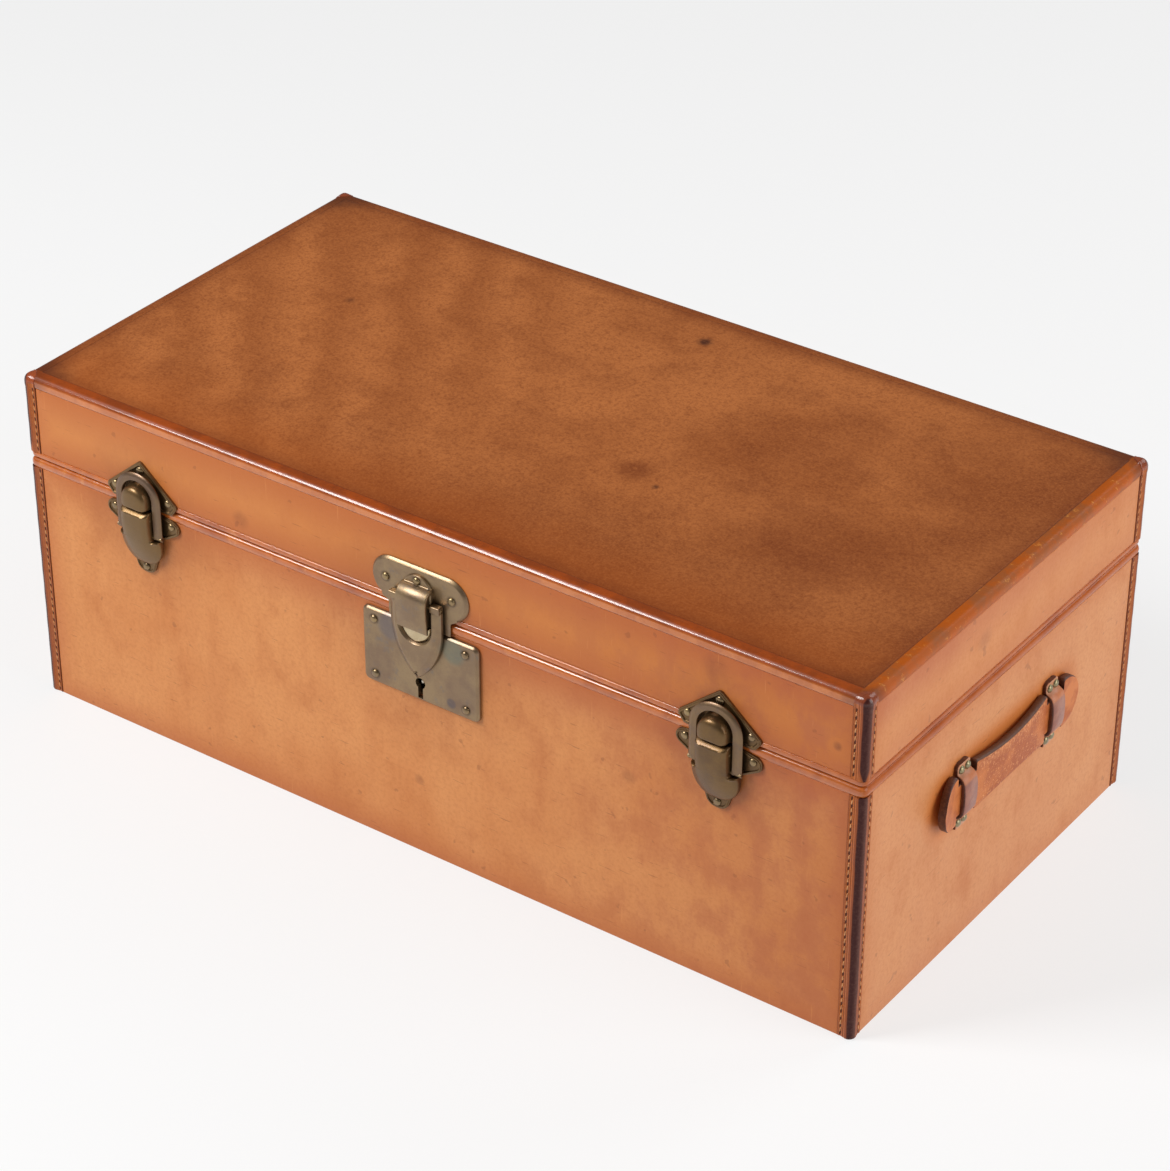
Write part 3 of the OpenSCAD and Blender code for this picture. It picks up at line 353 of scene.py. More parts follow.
# %% Shapes as points and faces
class Shape:
    """Points (n, 3) in millimetres, and faces as lists of point numbers, each with a material number."""

    def __init__(self, points, faces, look=0):
        self.points = np.asarray(points, float).reshape(-1, 3)
        self.faces = [list(f) for f in faces]
        self.looks = [look] * len(self.faces) if isinstance(look, int) else list(look)

    def __add__(self, other):
        shift = len(self.points)
        return Shape(np.concatenate([self.points, other.points]),
                     self.faces + [[i + shift for i in f] for f in other.faces], self.looks + other.looks)

    def placed(self, where):
        """The same faces on points that a function has carried elsewhere."""
        return Shape(where(self.points), self.faces, self.looks)

    def moved(self, x, y, z):
        """The same faces, moved along the three axes."""
        return self.placed(lambda p: p + (x, y, z))


def joined(shapes):
    """One shape of them all, in their order."""
    return reduce(add, shapes)


triangle = Shape([(0, 0, 0), (1, 0, 0), (0, 1, 0)], [(0, 1, 2)])
print("two triangles joined:", joined([triangle, triangle.moved(0, 0, 1)]).faces)


# %% Grids and solids between two grids
def grid(points, loop_rows=False, loop_columns=False, caps=False):
    """Quads over a (rows, columns, 3) array; a loop joins the last row or column to the first, and caps close
    the first and last row with one face each."""
    rows, columns = points.shape[:2]
    i = np.arange(rows if loop_rows else rows - 1)[:, None]
    j = np.arange(columns if loop_columns else columns - 1)[None, :]
    nexti, nextj = (i + 1) % rows, (j + 1) % columns
    quads = np.stack(np.broadcast_arrays(i * columns + j, i * columns + nextj,
                                         nexti * columns + nextj, nexti * columns + j), -1).reshape(-1, 4)
    faces = quads.tolist()
    if caps:
        faces.append(list(range(columns))[::-1])
        faces.append([(rows - 1) * columns + k for k in range(columns)])
    return Shape(points, faces)


def between(front, back, keep=None):
    """Closed solid between two grids of the same size: the kept cells of both, and a wall along every edge
    that only one kept cell has."""
    rows, columns = front.shape[:2]
    keep = np.ones((rows - 1, columns - 1), bool) if keep is None else keep
    numbers = np.arange(rows * columns).reshape(rows, columns)
    cells = np.stack([numbers[:-1, :-1], numbers[:-1, 1:], numbers[1:, 1:], numbers[1:, :-1]], -1)[keep]
    edges = np.concatenate([cells[:, [k, (k + 1) % 4]] for k in range(4)])
    codes = edges[:, 0] * rows * columns + edges[:, 1]
    twins = edges[:, 1] * rows * columns + edges[:, 0]
    rim = edges[~np.isin(twins, codes)]
    behind = rows * columns
    walls = np.column_stack([rim[:, 1], rim[:, 0], rim[:, 0] + behind, rim[:, 1] + behind])
    faces = np.concatenate([cells, cells[:, ::-1] + behind, walls])
    return Shape(np.concatenate([front.reshape(-1, 3), back.reshape(-1, 3)]), faces.tolist())


sheet = np.zeros((3, 4, 3))
print("a solid between two grids of 3 by 4 points has", len(between(sheet, sheet).faces), "faces")


# %% Outlines
def unit(vectors):
    """Vectors of the same directions, one long."""
    return vectors / np.linalg.norm(vectors, axis=-1, keepdims=True)


def rounded(corners, quarter=7):
    """Outline of a polygon with arcs at its corners: each corner is (x, y, radius), and its arc touches both
    of its edges. Points run anticlockwise if the corners do."""
    corners = np.array(corners, float)
    outline = []
    for before, here, after in zip(np.roll(corners, 1, 0), corners, np.roll(corners, -1, 0)):
        to_before, to_after = unit(before[:2] - here[:2]), unit(after[:2] - here[:2])
        half = math.acos(np.clip(to_before @ to_after, -1, 1)) / 2
        centre = here[:2] + unit(to_before + to_after) * here[2] / math.sin(half)
        start = here[:2] + to_before * here[2] / math.tan(half) - centre
        end = here[:2] + to_after * here[2] / math.tan(half) - centre
        turn = math.atan2(start[0] * end[1] - start[1] * end[0], start @ end)
        steps = max(2, math.ceil(abs(turn) / (math.pi / 2) * quarter) + 1)
        angle = math.atan2(start[1], start[0]) + turn * np.linspace(0, 1, steps)
        outline.append(centre + here[2] * np.stack([np.cos(angle), np.sin(angle)], -1))
    return np.concatenate(outline)


def signed_area(outline):
    """Twice the area of a closed outline, above 0 if its points run anticlockwise: the sum of x y' - x' y
    over every point and its next one."""
    following = np.roll(outline, -1, 0)
    return (outline[:, 0] * following[:, 1] - following[:, 0] * outline[:, 1]).sum()


def inset(outline, distance):
    """Every edge moves inwards by the distance, which may differ from point to point: a point goes along the
    bisector of its two edges."""
    before = unit(outline - np.roll(outline, 1, 0))
    after = unit(np.roll(outline, -1, 0) - outline)
    n1 = np.stack([-before[:, 1], before[:, 0]], -1)
    n2 = np.stack([-after[:, 1], after[:, 0]], -1)
    along = (n1 + n2) / np.maximum(1 + (n1 * n2).sum(-1, keepdims=True), 0.3)
    return outline + np.broadcast_to(distance, len(outline))[:, None] * along


square = rounded([(1, -1, 0.5), (1, 1, 0.5), (-1, 1, 0.5), (-1, -1, 0.5)])
print(f"a rounded square of {len(square)} points covers {signed_area(square) / 2:.2f} of 4")


# %% Stamped plates
FLAT_RING = 0.12


def facing(points, triangles, sign):
    """The triangles, each turned so that its normal's z has the given sign."""
    triangles = np.array([tuple(t) for t in triangles])
    a, b, c = (points[triangles[:, k]] for k in range(3))
    up = np.cross(b - a, c - a)[:, 2] * sign
    return np.where(up[:, None] < 0, triangles[:, ::-1], triangles).tolist()


def at_height(outline, height):
    """Points of an outline (x, y) lifted to a height."""
    return np.column_stack([outline, np.full(len(outline), height)])


def plate(outline, steps, holes=(), share=1.0):
    """Stamped plate: rings of the outline at (inset, height) steps from the back to the front, closed by flat
    faces, with holes straight through. Each point takes its share of the inset. A last narrow ring on each
    face keeps the flat shaded flat."""
    (first_inset, back), (last_inset, front) = steps[0], steps[-1]
    steps = [(first_inset + FLAT_RING, back), *steps, (last_inset + FLAT_RING, front)]
    rings = np.stack([at_height(inset(outline, d * share), h) for d, h in steps])
    shape = grid(rings, loop_columns=True)
    for ring_row, height, sign in ((rings[0], back, -1), (rings[-1], front, 1)):
        loops = [ring_row] + [at_height(hole, height) for hole in holes]
        triangles = tessellate_polygon([[Vector(p) for p in loop] for loop in loops])
        points = np.concatenate(loops)
        shape += Shape(points, facing(points, triangles, sign))
    for hole in holes:
        wall = grid(np.stack([at_height(hole, back), at_height(hole, front)]), loop_columns=True)
        if signed_area(hole) > 0:
            wall.faces = [f[::-1] for f in wall.faces]
        shape += wall
    return shape


print("a plate of that square has", len(plate(square, [(0, 0), (0, 1)]).faces), "faces")


# %% Turned and swept pieces
def turned(profile, sides=28):
    """Turned piece: a (radius, height) profile carried round the z axis, closed at its poles."""
    angle = np.linspace(0, 2 * math.pi, sides, endpoint=False)
    radius, height = np.array(profile, float).T
    rings = np.stack([radius[:, None] * np.cos(angle), radius[:, None] * np.sin(angle),
                      np.broadcast_to(height[:, None], (len(radius), sides))], -1)
    return grid(rings, loop_columns=True, caps=True)


def swept(path, out, section):
    """Section (m, 2) carried along a path (n, 3): its first coordinate lies along out x tangent, its second
    along out. Sections may differ from point to point, as an (n, m, 2) array."""
    tangent = unit(np.gradient(path, axis=0))
    out = unit(np.broadcast_to(out, path.shape))
    side = unit(np.cross(out, tangent))
    section = np.broadcast_to(section, (len(path), *np.shape(section)[-2:]))
    points = path[:, None] + side[:, None] * section[..., :1] + out[:, None] * section[..., 1:]
    return grid(points, loop_columns=True, caps=True)


print("a turned pin of four sides has", len(turned([(1, 0), (1, 2)], 4).faces), "faces")

# %% [markdown]
# A shape could be built where it stands, but the hardware is flat and is easier to draw on the bench. It is
# then carried to its place: on the front, on an end, or across the front for what is drawn from the side.
# Making the piece turns its faces outwards, smooths it and names the body that it moves with and the packed
# pieces that it stands for.

# %% Place shapes and make pieces
def on_front(centre=0.0):
    """Local (along, up from the seam, out of the leather) to the frame, at a place along the front."""
    return lambda p: np.stack([centre + p[:, 0], -FACE_Y - p[:, 2], SEAM + p[:, 1]], -1)


def on_end(side, height):
    """Local (towards the back, up from a height, out of the leather) to the frame, on one end."""
    return lambda p: np.stack([side * (FACE_X + p[:, 2]), p[:, 0], height + p[:, 1]], -1)


def sideways(p):
    """Points drawn as (out of the leather, up, along the front), as (along, up, out)."""
    return p[:, [2, 1, 0]]


def across(where):
    """The place of shapes that are drawn sideways."""
    return lambda p: where(sideways(p))


def piece(name, shape, finishes, body, replaces=(), crease=32.0, uv=None):
    """Makes the mesh, turns its faces outwards, smooths it up to the crease angle and ties it to its body."""
    points, faces = shape.points * MM, shape.faces
    triangles = np.array([(f[0], f[k], f[k + 1]) for f in faces for k in range(1, len(f) - 1)])
    a, b, c = (points[triangles[:, k]] for k in range(3))
    if np.einsum("ij,ij->", a, np.cross(b, c)) < 0:
        faces = [f[::-1] for f in faces]
    mesh = bpy.data.meshes.new(name)
    mesh.from_pydata(points.tolist(), [], faces)
    if uv is not None:
        corners = np.zeros(len(mesh.loops), np.int32)
        mesh.loops.foreach_get("vertex_index", corners)
        mesh.uv_layers.new(name="along").data.foreach_set("uv", uv[corners].astype(np.float32).ravel())
    for finish in finishes:
        mesh.materials.append(finish)
    mesh.polygons.foreach_set("material_index", np.array(shape.looks, np.int32))
    mesh.polygons.foreach_set("use_smooth", np.ones(len(faces), bool))
    mesh.set_sharp_from_angle(angle=math.radians(crease))
    made = bpy.data.objects.new(name, mesh)
    bpy.context.scene.collection.objects.link(made)
    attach(made, body)
    if replaces:
        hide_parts(*replaces)
    print(f"{name}: {len(faces)} faces")


print("the middle of the front's seam is at", on_front()(np.zeros((1, 3)))[0])


# %% [markdown]
# Vegetable-tanned cowhide darkens wherever hands, light and wax reach it. Pictures of leather could be laid
# on it, but they repeat and break off at every edge; noise in the trunk's own coordinates runs on from
# panel to panel. The same recipe of clouds, patches and specks gives every leather here; what differs is
# how far each has darkened. Its bump adds pores, fine creases and the slow waves of a hide that was
# stretched over boards.
# Some marks in these finishes are painted shade, light and sheen, not the hide's own colour; each is named as
# such.

# %% Measure the welts and the tooled line
WELT = 10.0
CHANNEL = 8.1
WELT_ARC = CORNER * math.pi / 4
WELT_END = WELT - CORNER + WELT_ARC
CHANNEL_AT = CHANNEL - CORNER + WELT_ARC
# Dark lines along a welt: the distance round the corner, and the width.
WELT_LINES = ((WELT_ARC + 0.35, 0.35), (CHANNEL_AT - 1.75, 0.45), (CHANNEL_AT + 1.75, 0.5), (WELT_END, 0.5))
ARRIS = TOP - CORNER
PITCH = 5.25
GROOVE = 9.4
HANDLE_Z = 112.0
print(f"welts {WELT} mm wide, stitches {PITCH} mm apart, tooled line {GROOVE} mm in")

# %% Choose the leather's colours
TAN_MAIN, TAN_LIGHT, TAN_DARK = srgb(206, 127, 65), srgb(220, 146, 84), srgb(182, 100, 46)
TAN_EDGE, TAN_STAIN, TAN_BOUNCE_AND_UNFADED = srgb(184, 96, 42), srgb(124, 62, 32), srgb(204, 112, 42)
TAN_PALE, TAN_LID, TAN_FLUSH = srgb(210, 144, 96), srgb(202, 118, 48), srgb(178, 94, 58)
TAN_ROSE = srgb(176, 94, 58)
TOP_LIGHT, TOP_DARK, TOP_DEEP = srgb(190, 114, 60), srgb(154, 84, 38), srgb(114, 50, 16)
TOP_BURNT, TOP_WARM = srgb(64, 30, 20), srgb(164, 76, 8)
BAND_FRONT, BAND_RIGHT, BAND_DOWN = srgb(160, 70, 14), srgb(178, 84, 8), srgb(204, 118, 56)
BAND_SCUFF = srgb(222, 150, 70)
EDGE_MAIN, EDGE_DARK, EDGE_LIGHT = srgb(196, 106, 44), srgb(162, 78, 28), srgb(214, 134, 68)
WELT_MAIN, WELT_DARK = srgb(176, 100, 60), srgb(104, 50, 32)
WELT_FOLD, WELT_CAP = srgb(120, 52, 32), srgb(146, 64, 36)
BURNT, BURNT_SHEEN = srgb(62, 24, 20), srgb(104, 66, 56)
THREAD_LIGHT, THREAD_DARK = srgb(222, 160, 102), srgb(170, 104, 58)
# Single marks: centre and radius in millimetres, the colour's share, and on the top its colour.
TAN_MARKS = (((-2, -156, 53), 3.0, 0.55), ((286, -156, 195), 2.4, 0.9), ((-133, -156, 188), 5.0, 0.4),
             ((-211, -156, 160), 42, 0.3), ((211, -156, 160), 42, 0.3), ((3, -156, 150), 60, 0.3),
             ((304, -31, 204), 6, 0.3), ((208, -156, 213), 9, 0.35), ((150, -156, 118), 4, 0.3))
TOP_MARKS = (((12, 122, 232), 4.0, 0.9, TOP_BURNT), ((-202, 36, 232), 3.0, 0.4, TOP_BURNT),
             ((87, -41, 232), 2.0, 0.8, TOP_BURNT), ((66, -32, 232), 9.0, 0.6, TOP_DEEP),
             ((202, -56, 232), 50, 0.42, TOP_DEEP))
print("marks on the panels:", len(TAN_MARKS), "and on the top:", len(TOP_MARKS))


# %% Tan leather of the panels
def hide_height(finish, waves=1.0):
    """Height of waxed hide, in fifths of a millimetre: pores, creases and slow waves."""
    pores = finish.cells(1.3).rise(0.0, 0.42)
    creases = finish.noise(4.5, 4, 0.68, offset=3)
    slow = finish.noise(46, 2, 0.4, offset=11)
    return pores * 0.22 + creases * 0.42 + slow * (2.6 * waves)


def scratches(finish, size, stretch, start=0.66, offset=17.0):
    """1 on a few long thin marks."""
    return finish.noise(size, 2, 0.5, stretch, offset).rise(start, start + 0.05)


def tan_leather():
    """Panels of case and lid: warm tan clouds, darker by the edges and the hardware, an orange tint round the
    handles that is partly less faded leather and partly painted bounce light and shade, painted shade towards
    the right of the front and painted light on the left of the lid, paler on the ends."""
    f = Finish("tan_leather_finish")
    cloud = f.noise(120, 4, 0.6, (1, 1, 1.6), 5)
    patch = f.noise(26, 5, 0.62, (1, 1, 1.3), 31)
    speck = f.noise(2.6, 4, 0.65, offset=7)
    drips = f.noise(11, 3, 0.5, (1, 1, 9), 13)
    on_end = abs(f.x).rise(FACE_X - 3, FACE_X - 1)
    colour = f.mix(cloud.rise(0.36, 0.64), TAN_MAIN, TAN_LIGHT)
    colour = f.mix(on_end * 0.65, colour, TAN_PALE)
    # Painted shade: the front darkens towards the right, as the key lamp's light falls off.
    painted_shade_to_right = f.x.rise(20, 330) * (1 - on_end) * (f.z.rise(SEAM - 1, SEAM + 1) * 0.35 + 0.45)
    colour = f.mix(painted_shade_to_right, colour, TAN_DARK)
    colour = f.mix(patch.rise(0.46, 0.78) * 0.5, colour, TAN_DARK)
    colour = f.mix(drips.rise(0.5, 0.75) * 0.15, colour, TAN_DARK)
    colour = f.mix(speck.rise(0.4, 0.72) * 0.32, colour, TAN_DARK)
    corner = (HALF_X - abs(f.x)).most(HALF_Y - abs(f.y))
    seam = abs(f.z - SEAM)
    edge = corner.least(seam).least(f.z + 6).least((TURN_BOTTOM + 3) - f.z)
    on_lid = f.z.rise(SEAM - 1, SEAM + 1)
    colour = f.mix(on_lid * (0.75 - on_end * 0.45), colour, TAN_LID)
    # Painted light: the lid's front turns paler towards the left, nearer the key lamp.
    colour = f.mix(on_lid * f.x.rise(0, -250) * 0.3, colour, TAN_LIGHT)
    # Reddish patches and flushes of the hide, each made stronger towards the right as painted shade.
    rose_and_right_shade = patch.rise(0.4, 0.6) * (on_lid * 0.14 + f.x.rise(0, 300) * 0.46)
    under = (SEAM - f.z).rise(44, 4) * (1 - on_lid) * (f.x.rise(-260, 60) * 0.3 + 0.12)
    below_turn = f.z.rise(TURN_BOTTOM - 18, TURN_BOTTOM) * f.x.rise(-150, 250) * 0.45
    colour = f.mix((rose_and_right_shade + under + below_turn) * (1 - on_end), colour, TAN_ROSE)
    worn = (edge + patch * 16).rise(38, 9)
    colour = f.mix(worn * (0.7 - on_end * 0.35), colour, TAN_EDGE)
    for mark, radius, share in TAN_MARKS:
        colour = f.mix(f.spot(mark, radius, 0.6) * (patch.rise(0.2, 0.6) * share), colour, TAN_STAIN)
    flush = f.z.rise(TURN_BOTTOM - 30, TURN_BOTTOM) * (patch.rise(0.3, 0.6) * 0.5 + 0.5) * f.y.rise(150, -100)
    colour = f.mix(flush * on_end * 0.55, colour, TAN_FLUSH)
    # Orange tint round each handle: partly unfaded leather, partly painted bounce light and shade.
    past = (abs(f.y) - 62).most(0.0)
    handle = (past * past + (f.z - HANDLE_Z) * (f.z - HANDLE_Z)).root()
    colour = f.mix((handle + patch * 6).rise(34, 18) * on_end * 0.75, colour, TAN_BOUNCE_AND_UNFADED)
    colour = f.mix(scratches(f, 1.3, (1.4, 1.4, 22), 0.7) * 0.25, colour, TAN_LIGHT)
    colour = f.mix(scratches(f, 1.5, (9, 9, 0.6), 0.7, 17) * 0.4, colour, TAN_STAIN)
    colour = f.mix(f.noise(7, 2, 0.4, offset=53).rise(0.71, 0.76) * 0.3, colour, TAN_STAIN)
    roughness = patch * 0.2 + speck * 0.12 + 0.3
    return f.close(colour, roughness, hide_height(f, 0.9), 0.2, Specular_IOR_Level=0.35)


TAN = tan_leather()
print("made", TAN.name)


# %% Sunburnt leather of the top
def top_leather():
    """Lid top: sunburnt brown with paler clouds, dark inside its tooled line and black at the corners, with
    painted shade along its front and right and a painted shadow line at the foot of the turned-down strip.
    """
    f = Finish("top_leather_finish")
    cloud = f.noise(150, 4, 0.55, (1.0, 0.8, 1), 9)
    patch = f.noise(38, 5, 0.65, offset=41)
    speck = f.noise(2.4, 4, 0.7, offset=19)
    ripple = (f.x * 0.81 + f.y * 0.59 + patch * 46 + cloud * 70).wave(46) * f.x.rise(20, -150)
    bright = (cloud + f.x.rise(220, -280) * 0.16 + f.y.rise(-120, 150) * 0.08).rise(0.38, 0.74)
    colour = f.mix(bright, TOP_DARK, TOP_LIGHT)
    colour = f.mix(patch.rise(0.4, 0.76) * 0.42, colour, TOP_DEEP)
    colour = f.mix(ripple * 0.6, colour, TOP_DARK)
    # Painted shade along the front and the right of the top.
    shade = (HALF_Y + f.y + patch * 60).rise(110, 30) * f.x.rise(-260, 60)
    shade = shade.most((HALF_X - f.x + patch * 60).rise(120, 30) * f.y.rise(150, -40) * 0.5)
    colour = f.mix(shade * 0.5, colour, TOP_DEEP)
    colour = f.mix(speck.rise(0.42, 0.7) * 0.4, colour, TOP_DEEP)
    colour = f.mix(f.noise(3.2, 3, 0.7, offset=71).rise(0.58, 0.72) * 0.25, colour, TOP_LIGHT)
    grain = f.noise(1.3, 2, 0.6, offset=63)
    colour = f.mix(grain.rise(0.5, 0.68) * 0.3, colour, TOP_LIGHT)
    colour = f.mix(grain.rise(0.5, 0.32) * 0.34, colour, TOP_DEEP)
    colour = f.mix((HALF_Y + f.y + patch * 40).rise(95, 25) * 0.35, colour, TOP_WARM)
    reach_x, reach_y = HALF_X - abs(f.x), HALF_Y - abs(f.y)
    inner = reach_x.least(reach_y)
    colour = f.mix((inner + patch * 16).rise(30, 12) * 0.55, colour, TOP_DEEP)
    burnt = (reach_x + reach_y + patch * 30).rise(72, 26) * (1 - f.x.rise(100, 300) * f.y.rise(0, -120) * 0.5)
    colour = f.mix(burnt * 0.7, colour, TOP_BURNT)
    blotch = f.noise(16, 4, 0.65, offset=83).rise(0.38, 0.66)
    scuff = f.noise(5, 4, 0.75, offset=91).rise(0.58, 0.7)
    arris = (TOP - f.z).rise(0.1, 1.6)
    right = (HALF_X - f.x).rise(GROOVE + 0.4, GROOVE - 0.4)
    front = (HALF_Y + f.y).rise(GROOVE + 0.4, GROOVE - 0.4)
    colour = f.mix(front, colour, f.mix(blotch * 0.55, BAND_FRONT, TOP_DEEP))
    colour = f.mix(right, colour, f.mix(scuff * 0.6, f.mix(blotch, BAND_RIGHT, TOP_DARK), BAND_SCUFF))
    turned_down = (TOP - f.z).rise(1.8, 3.6) * (1 - right * (HALF_Y - abs(f.y)).rise(1, 3))
    colour = f.mix(turned_down, colour, f.mix(blotch * 0.5, BAND_DOWN, EDGE_DARK))
    # Painted shadow: a dark line at the foot of the turned-down strip, where it steps down to the panel.
    colour = f.mix((f.z - TURN_BOTTOM).rise(0.9, 0.3) * 0.6, colour, TOP_DEEP)
    colour = f.mix((reach_x + reach_y).rise(24, 12) * 0.6, colour, TOP_DEEP)
    line = abs(inner - GROOVE).rise(0.6, 0.2)
    colour = f.mix(line * (0.25 + right * 0.35 + front * 0.2), colour, TOP_BURNT)
    for mark, radius, share, tint in TOP_MARKS:
        colour = f.mix(f.spot(mark, radius, 0.8) * (speck.rise(0.2, 0.5) * share), colour, tint)
    colour = f.mix(scratches(f, 1.5, (26, 1.5, 1), 0.7) * 0.2, colour, TOP_LIGHT)
    colour = f.mix(scratches(f, 1.0, (90, 0.9, 1), 0.72, 29) * 0.35, colour, TOP_LIGHT)
    polish = arris * front
    roughness = (patch * 0.2 + speck * 0.14 + 0.32) * (1 - polish * 0.5)
    height = hide_height(f, 1.0) * (1 - arris * 0.8)
    return f.close(colour, roughness, height, 0.2, Specular_IOR_Level=0.25, Coat_Weight=polish,
                   Coat_Roughness=0.09)


TOPPING = top_leather()
print("made", TOPPING.name)


# %% Polished leather of the rolled edges
def edge_leather():
    """Rolled edges, bead and turned-over strips: saturated, polished by wear."""
    f = Finish("edge_leather_finish")
    cloud = f.noise(34, 4, 0.6, offset=2)
    speck = f.noise(2.0, 4, 0.7, offset=23)
    colour = f.mix(cloud.rise(0.4, 0.66), EDGE_MAIN, EDGE_DARK)
    colour = f.mix(f.noise(9, 4, 0.7, offset=61).rise(0.56, 0.7) * 0.55, colour, EDGE_LIGHT)
    colour = f.mix(speck.rise(0.5, 0.7) * 0.25, colour, EDGE_DARK)
    on_end = abs(f.x).rise(FACE_X - 2, FACE_X)
    colour = f.mix(on_end * 0.55, colour, EDGE_DARK)
    height = f.noise(4.5, 2, 0.5) * 0.4 + cloud * 1.4
    return f.close(colour, speck * 0.1 + 0.2, height, 0.03, Specular_IOR_Level=0.3,
                   Coat_Weight=(1 - on_end) * 0.85, Coat_Roughness=0.08)


EDGING = edge_leather()
print("made", EDGING.name)


# %% Burnished leather of the corner welts
def welt_leather():
    """Corner welts. Their map runs (round the corner from its middle, up), in millimetres: a burnished dark
    stripe at the middle with a painted sheen towards the end side, awl holes in the stitch channel painted
    dark as the shade in them, dark lines along the grooves, a red brown cap."""
    f = Finish("welt_leather_finish")
    around, up, _ = f.parts(f.node("ShaderNodeUVMap", {"uv_map": "along"}))
    cloud = f.noise(22, 4, 0.65, offset=37)
    speck = f.noise(1.8, 4, 0.7, offset=43)
    away = abs(around)
    colour = f.mix(cloud.rise(0.35, 0.65), TAN_DARK, WELT_MAIN)
    colour = f.mix(speck.rise(0.45, 0.7) * 0.3, colour, WELT_DARK)
    for line, width in WELT_LINES:
        colour = f.mix(abs(away - line).rise(width, 0.1) * 0.6, colour, WELT_DARK)
    capped = up.rise(ARRIS - 1.0, ARRIS + 1.0)
    slant = up + (away - CHANNEL_AT) * 0.75
    along = abs(slant.wrapped(PITCH) - PITCH / 2)
    hole = along * along / 1.6 + (away - CHANNEL_AT) * (away - CHANNEL_AT) / 0.36
    awl = hole.rise(1.5, 0.6) * up.rise(ARRIS, ARRIS - 1)
    # Painted shade: the awl holes are darkened as the shade inside them.
    colour = f.mix(awl * 0.85, colour, BURNT)
    colour = f.mix(capped * 0.75, colour, f.mix(cloud.rise(0.4, 0.6), WELT_CAP, WELT_FOLD))
    tip = (up - BINDING_TOP).rise(-4, 9) + up.rise(BEAD_BOTTOM + 2, BEAD_BOTTOM)
    taper = tip.least(1.0) * (up.rise(ARRIS + 5.5, ARRIS + 1) * 0.8 + 0.2)
    wander = (f.noise(26, 2, 0.4, offset=47) - 0.5) * 1.1
    reach_out = abs(around + wander) - 2.8 * taper
    colour = f.mix(reach_out.rise(2.2, 0.0) * 0.55, colour, WELT_FOLD)
    stripe = reach_out.rise(0.55, -0.45) * up.rise(ARRIS + 4.6, ARRIS + 3.4)
    # Painted sheen: the burnished stripe turns lighter towards the end side.
    painted_sheen = speck.rise(0.4, 0.7) * 0.3 + around.rise(-0.5, 2.5) * 0.6
    colour = f.mix(stripe, colour, f.mix(painted_sheen, BURNT, BURNT_SHEEN))
    height = f.noise(2.4, 3, 0.6) * 0.35 + awl * -2.4 + cloud
    gloss = stripe.most(capped)
    return f.close(colour, speck * 0.1 + 0.3 - gloss * 0.1, height, 0.12, Specular_IOR_Level=0.16,
                   Coat_Weight=capped * 0.5, Coat_Roughness=0.12)


WELTING = welt_leather()
print("made", WELTING.name)


# %% Waxed thread
def thread_wax():
    """Waxed linen thread."""
    f = Finish("thread_finish")
    speck = f.noise(1.2, 3, 0.7)
    colour = f.mix(speck.rise(0.35, 0.65), THREAD_LIGHT, THREAD_DARK)
    return f.close(colour, 0.55, f.noise(0.7, 3, 0.7), 0.1)


THREAD = thread_wax()
print("made", THREAD.name)

# %% [markdown]
# The panels are pared cowhide, glued wet and stretched over the boards, so each is almost flat. A plain box
# would have the form, but light that grazes it would show no hide. So each is a grid that keeps a slow wave
# of a fraction of a millimetre and turns down a little at its edges.

# %% Shape a leather panel
WAVES, WAVE_HEIGHT, WAVE_FADE = 6, 0.14, 12
BORDER, BORDER_DROP = 0.9, 0.6
GRID_STEP, LEAST_STEPS = 9, 6


def waves(u, v, seed):
    """Slow waves from -1 to 1: the mean of a few sines with seeded lengths, directions and phases."""
    rng = np.random.default_rng(seed)
    total = np.zeros_like(u)
    for _ in range(WAVES):
        length, heading = rng.uniform(60, 190), rng.uniform(0, math.pi)
        phase = rng.uniform(0, 2 * math.pi)
        total += np.sin(2 * math.pi * (u * math.cos(heading) + v * math.sin(heading)) / length + phase)
    return total / WAVES


def panel(low, high, seed, opening=None):
    """Leather sheet between two local corners (along, up), its face at 0 and its back a leather's thickness
    below, cut out between the two corners of an opening. The height is a slow wave, less a quarter round at
    the border: the radius minus the root of its square less the square of what lies beyond it."""
    lines = []
    for k in range(2):
        start, end = low[k], high[k]
        edge = np.array([0, 0.15, 0.45, BORDER])
        steps = max(LEAST_STEPS, round((end - start) / GRID_STEP))
        inside = np.linspace(start + BORDER, end - BORDER, steps)[1:-1]
        line = np.concatenate([start + edge, inside, end - edge[::-1]])
        if opening:
            cuts = np.array([opening[0][k], opening[1][k]])
            line = line[np.abs(line[:, None] - cuts).min(1) > 1.5]
            line = np.sort(np.concatenate([line, cuts]))
        lines.append(line)
    v, u = np.meshgrid(lines[1], lines[0], indexing="ij")
    gap = np.minimum(np.minimum(u - low[0], high[0] - u), np.minimum(v - low[1], high[1] - v))
    fall = BORDER - np.sqrt(BORDER * BORDER - np.clip(BORDER - gap, 0, BORDER) ** 2)
    height = WAVE_HEIGHT * waves(u, v, seed) * np.clip(gap / WAVE_FADE, 0, 1) - BORDER_DROP * fall
    front = np.stack([u, v, height], -1)
    back = np.stack([u, v, np.full_like(u, -LEATHER)], -1)
    if not opening:
        return between(front, back)
    middle_u, middle_v = (u[1:, 1:] + u[:-1, :-1]) / 2, (v[1:, 1:] + v[:-1, :-1]) / 2
    (left, bottom), (right, top) = opening
    inside = (middle_u > left) & (middle_u < right) & (middle_v > bottom) & (middle_v < top)
    return between(front, back, ~inside)


print("a panel of 100 by 50 mm has", len(panel((0, 0), (100, 50), 1).faces), "faces")


# %% Lay the panels on both shells
def turned_about(shape):
    """The same shape half a turn round the trunk's upright axis."""
    return shape.placed(lambda p: p * (-1, -1, 1))


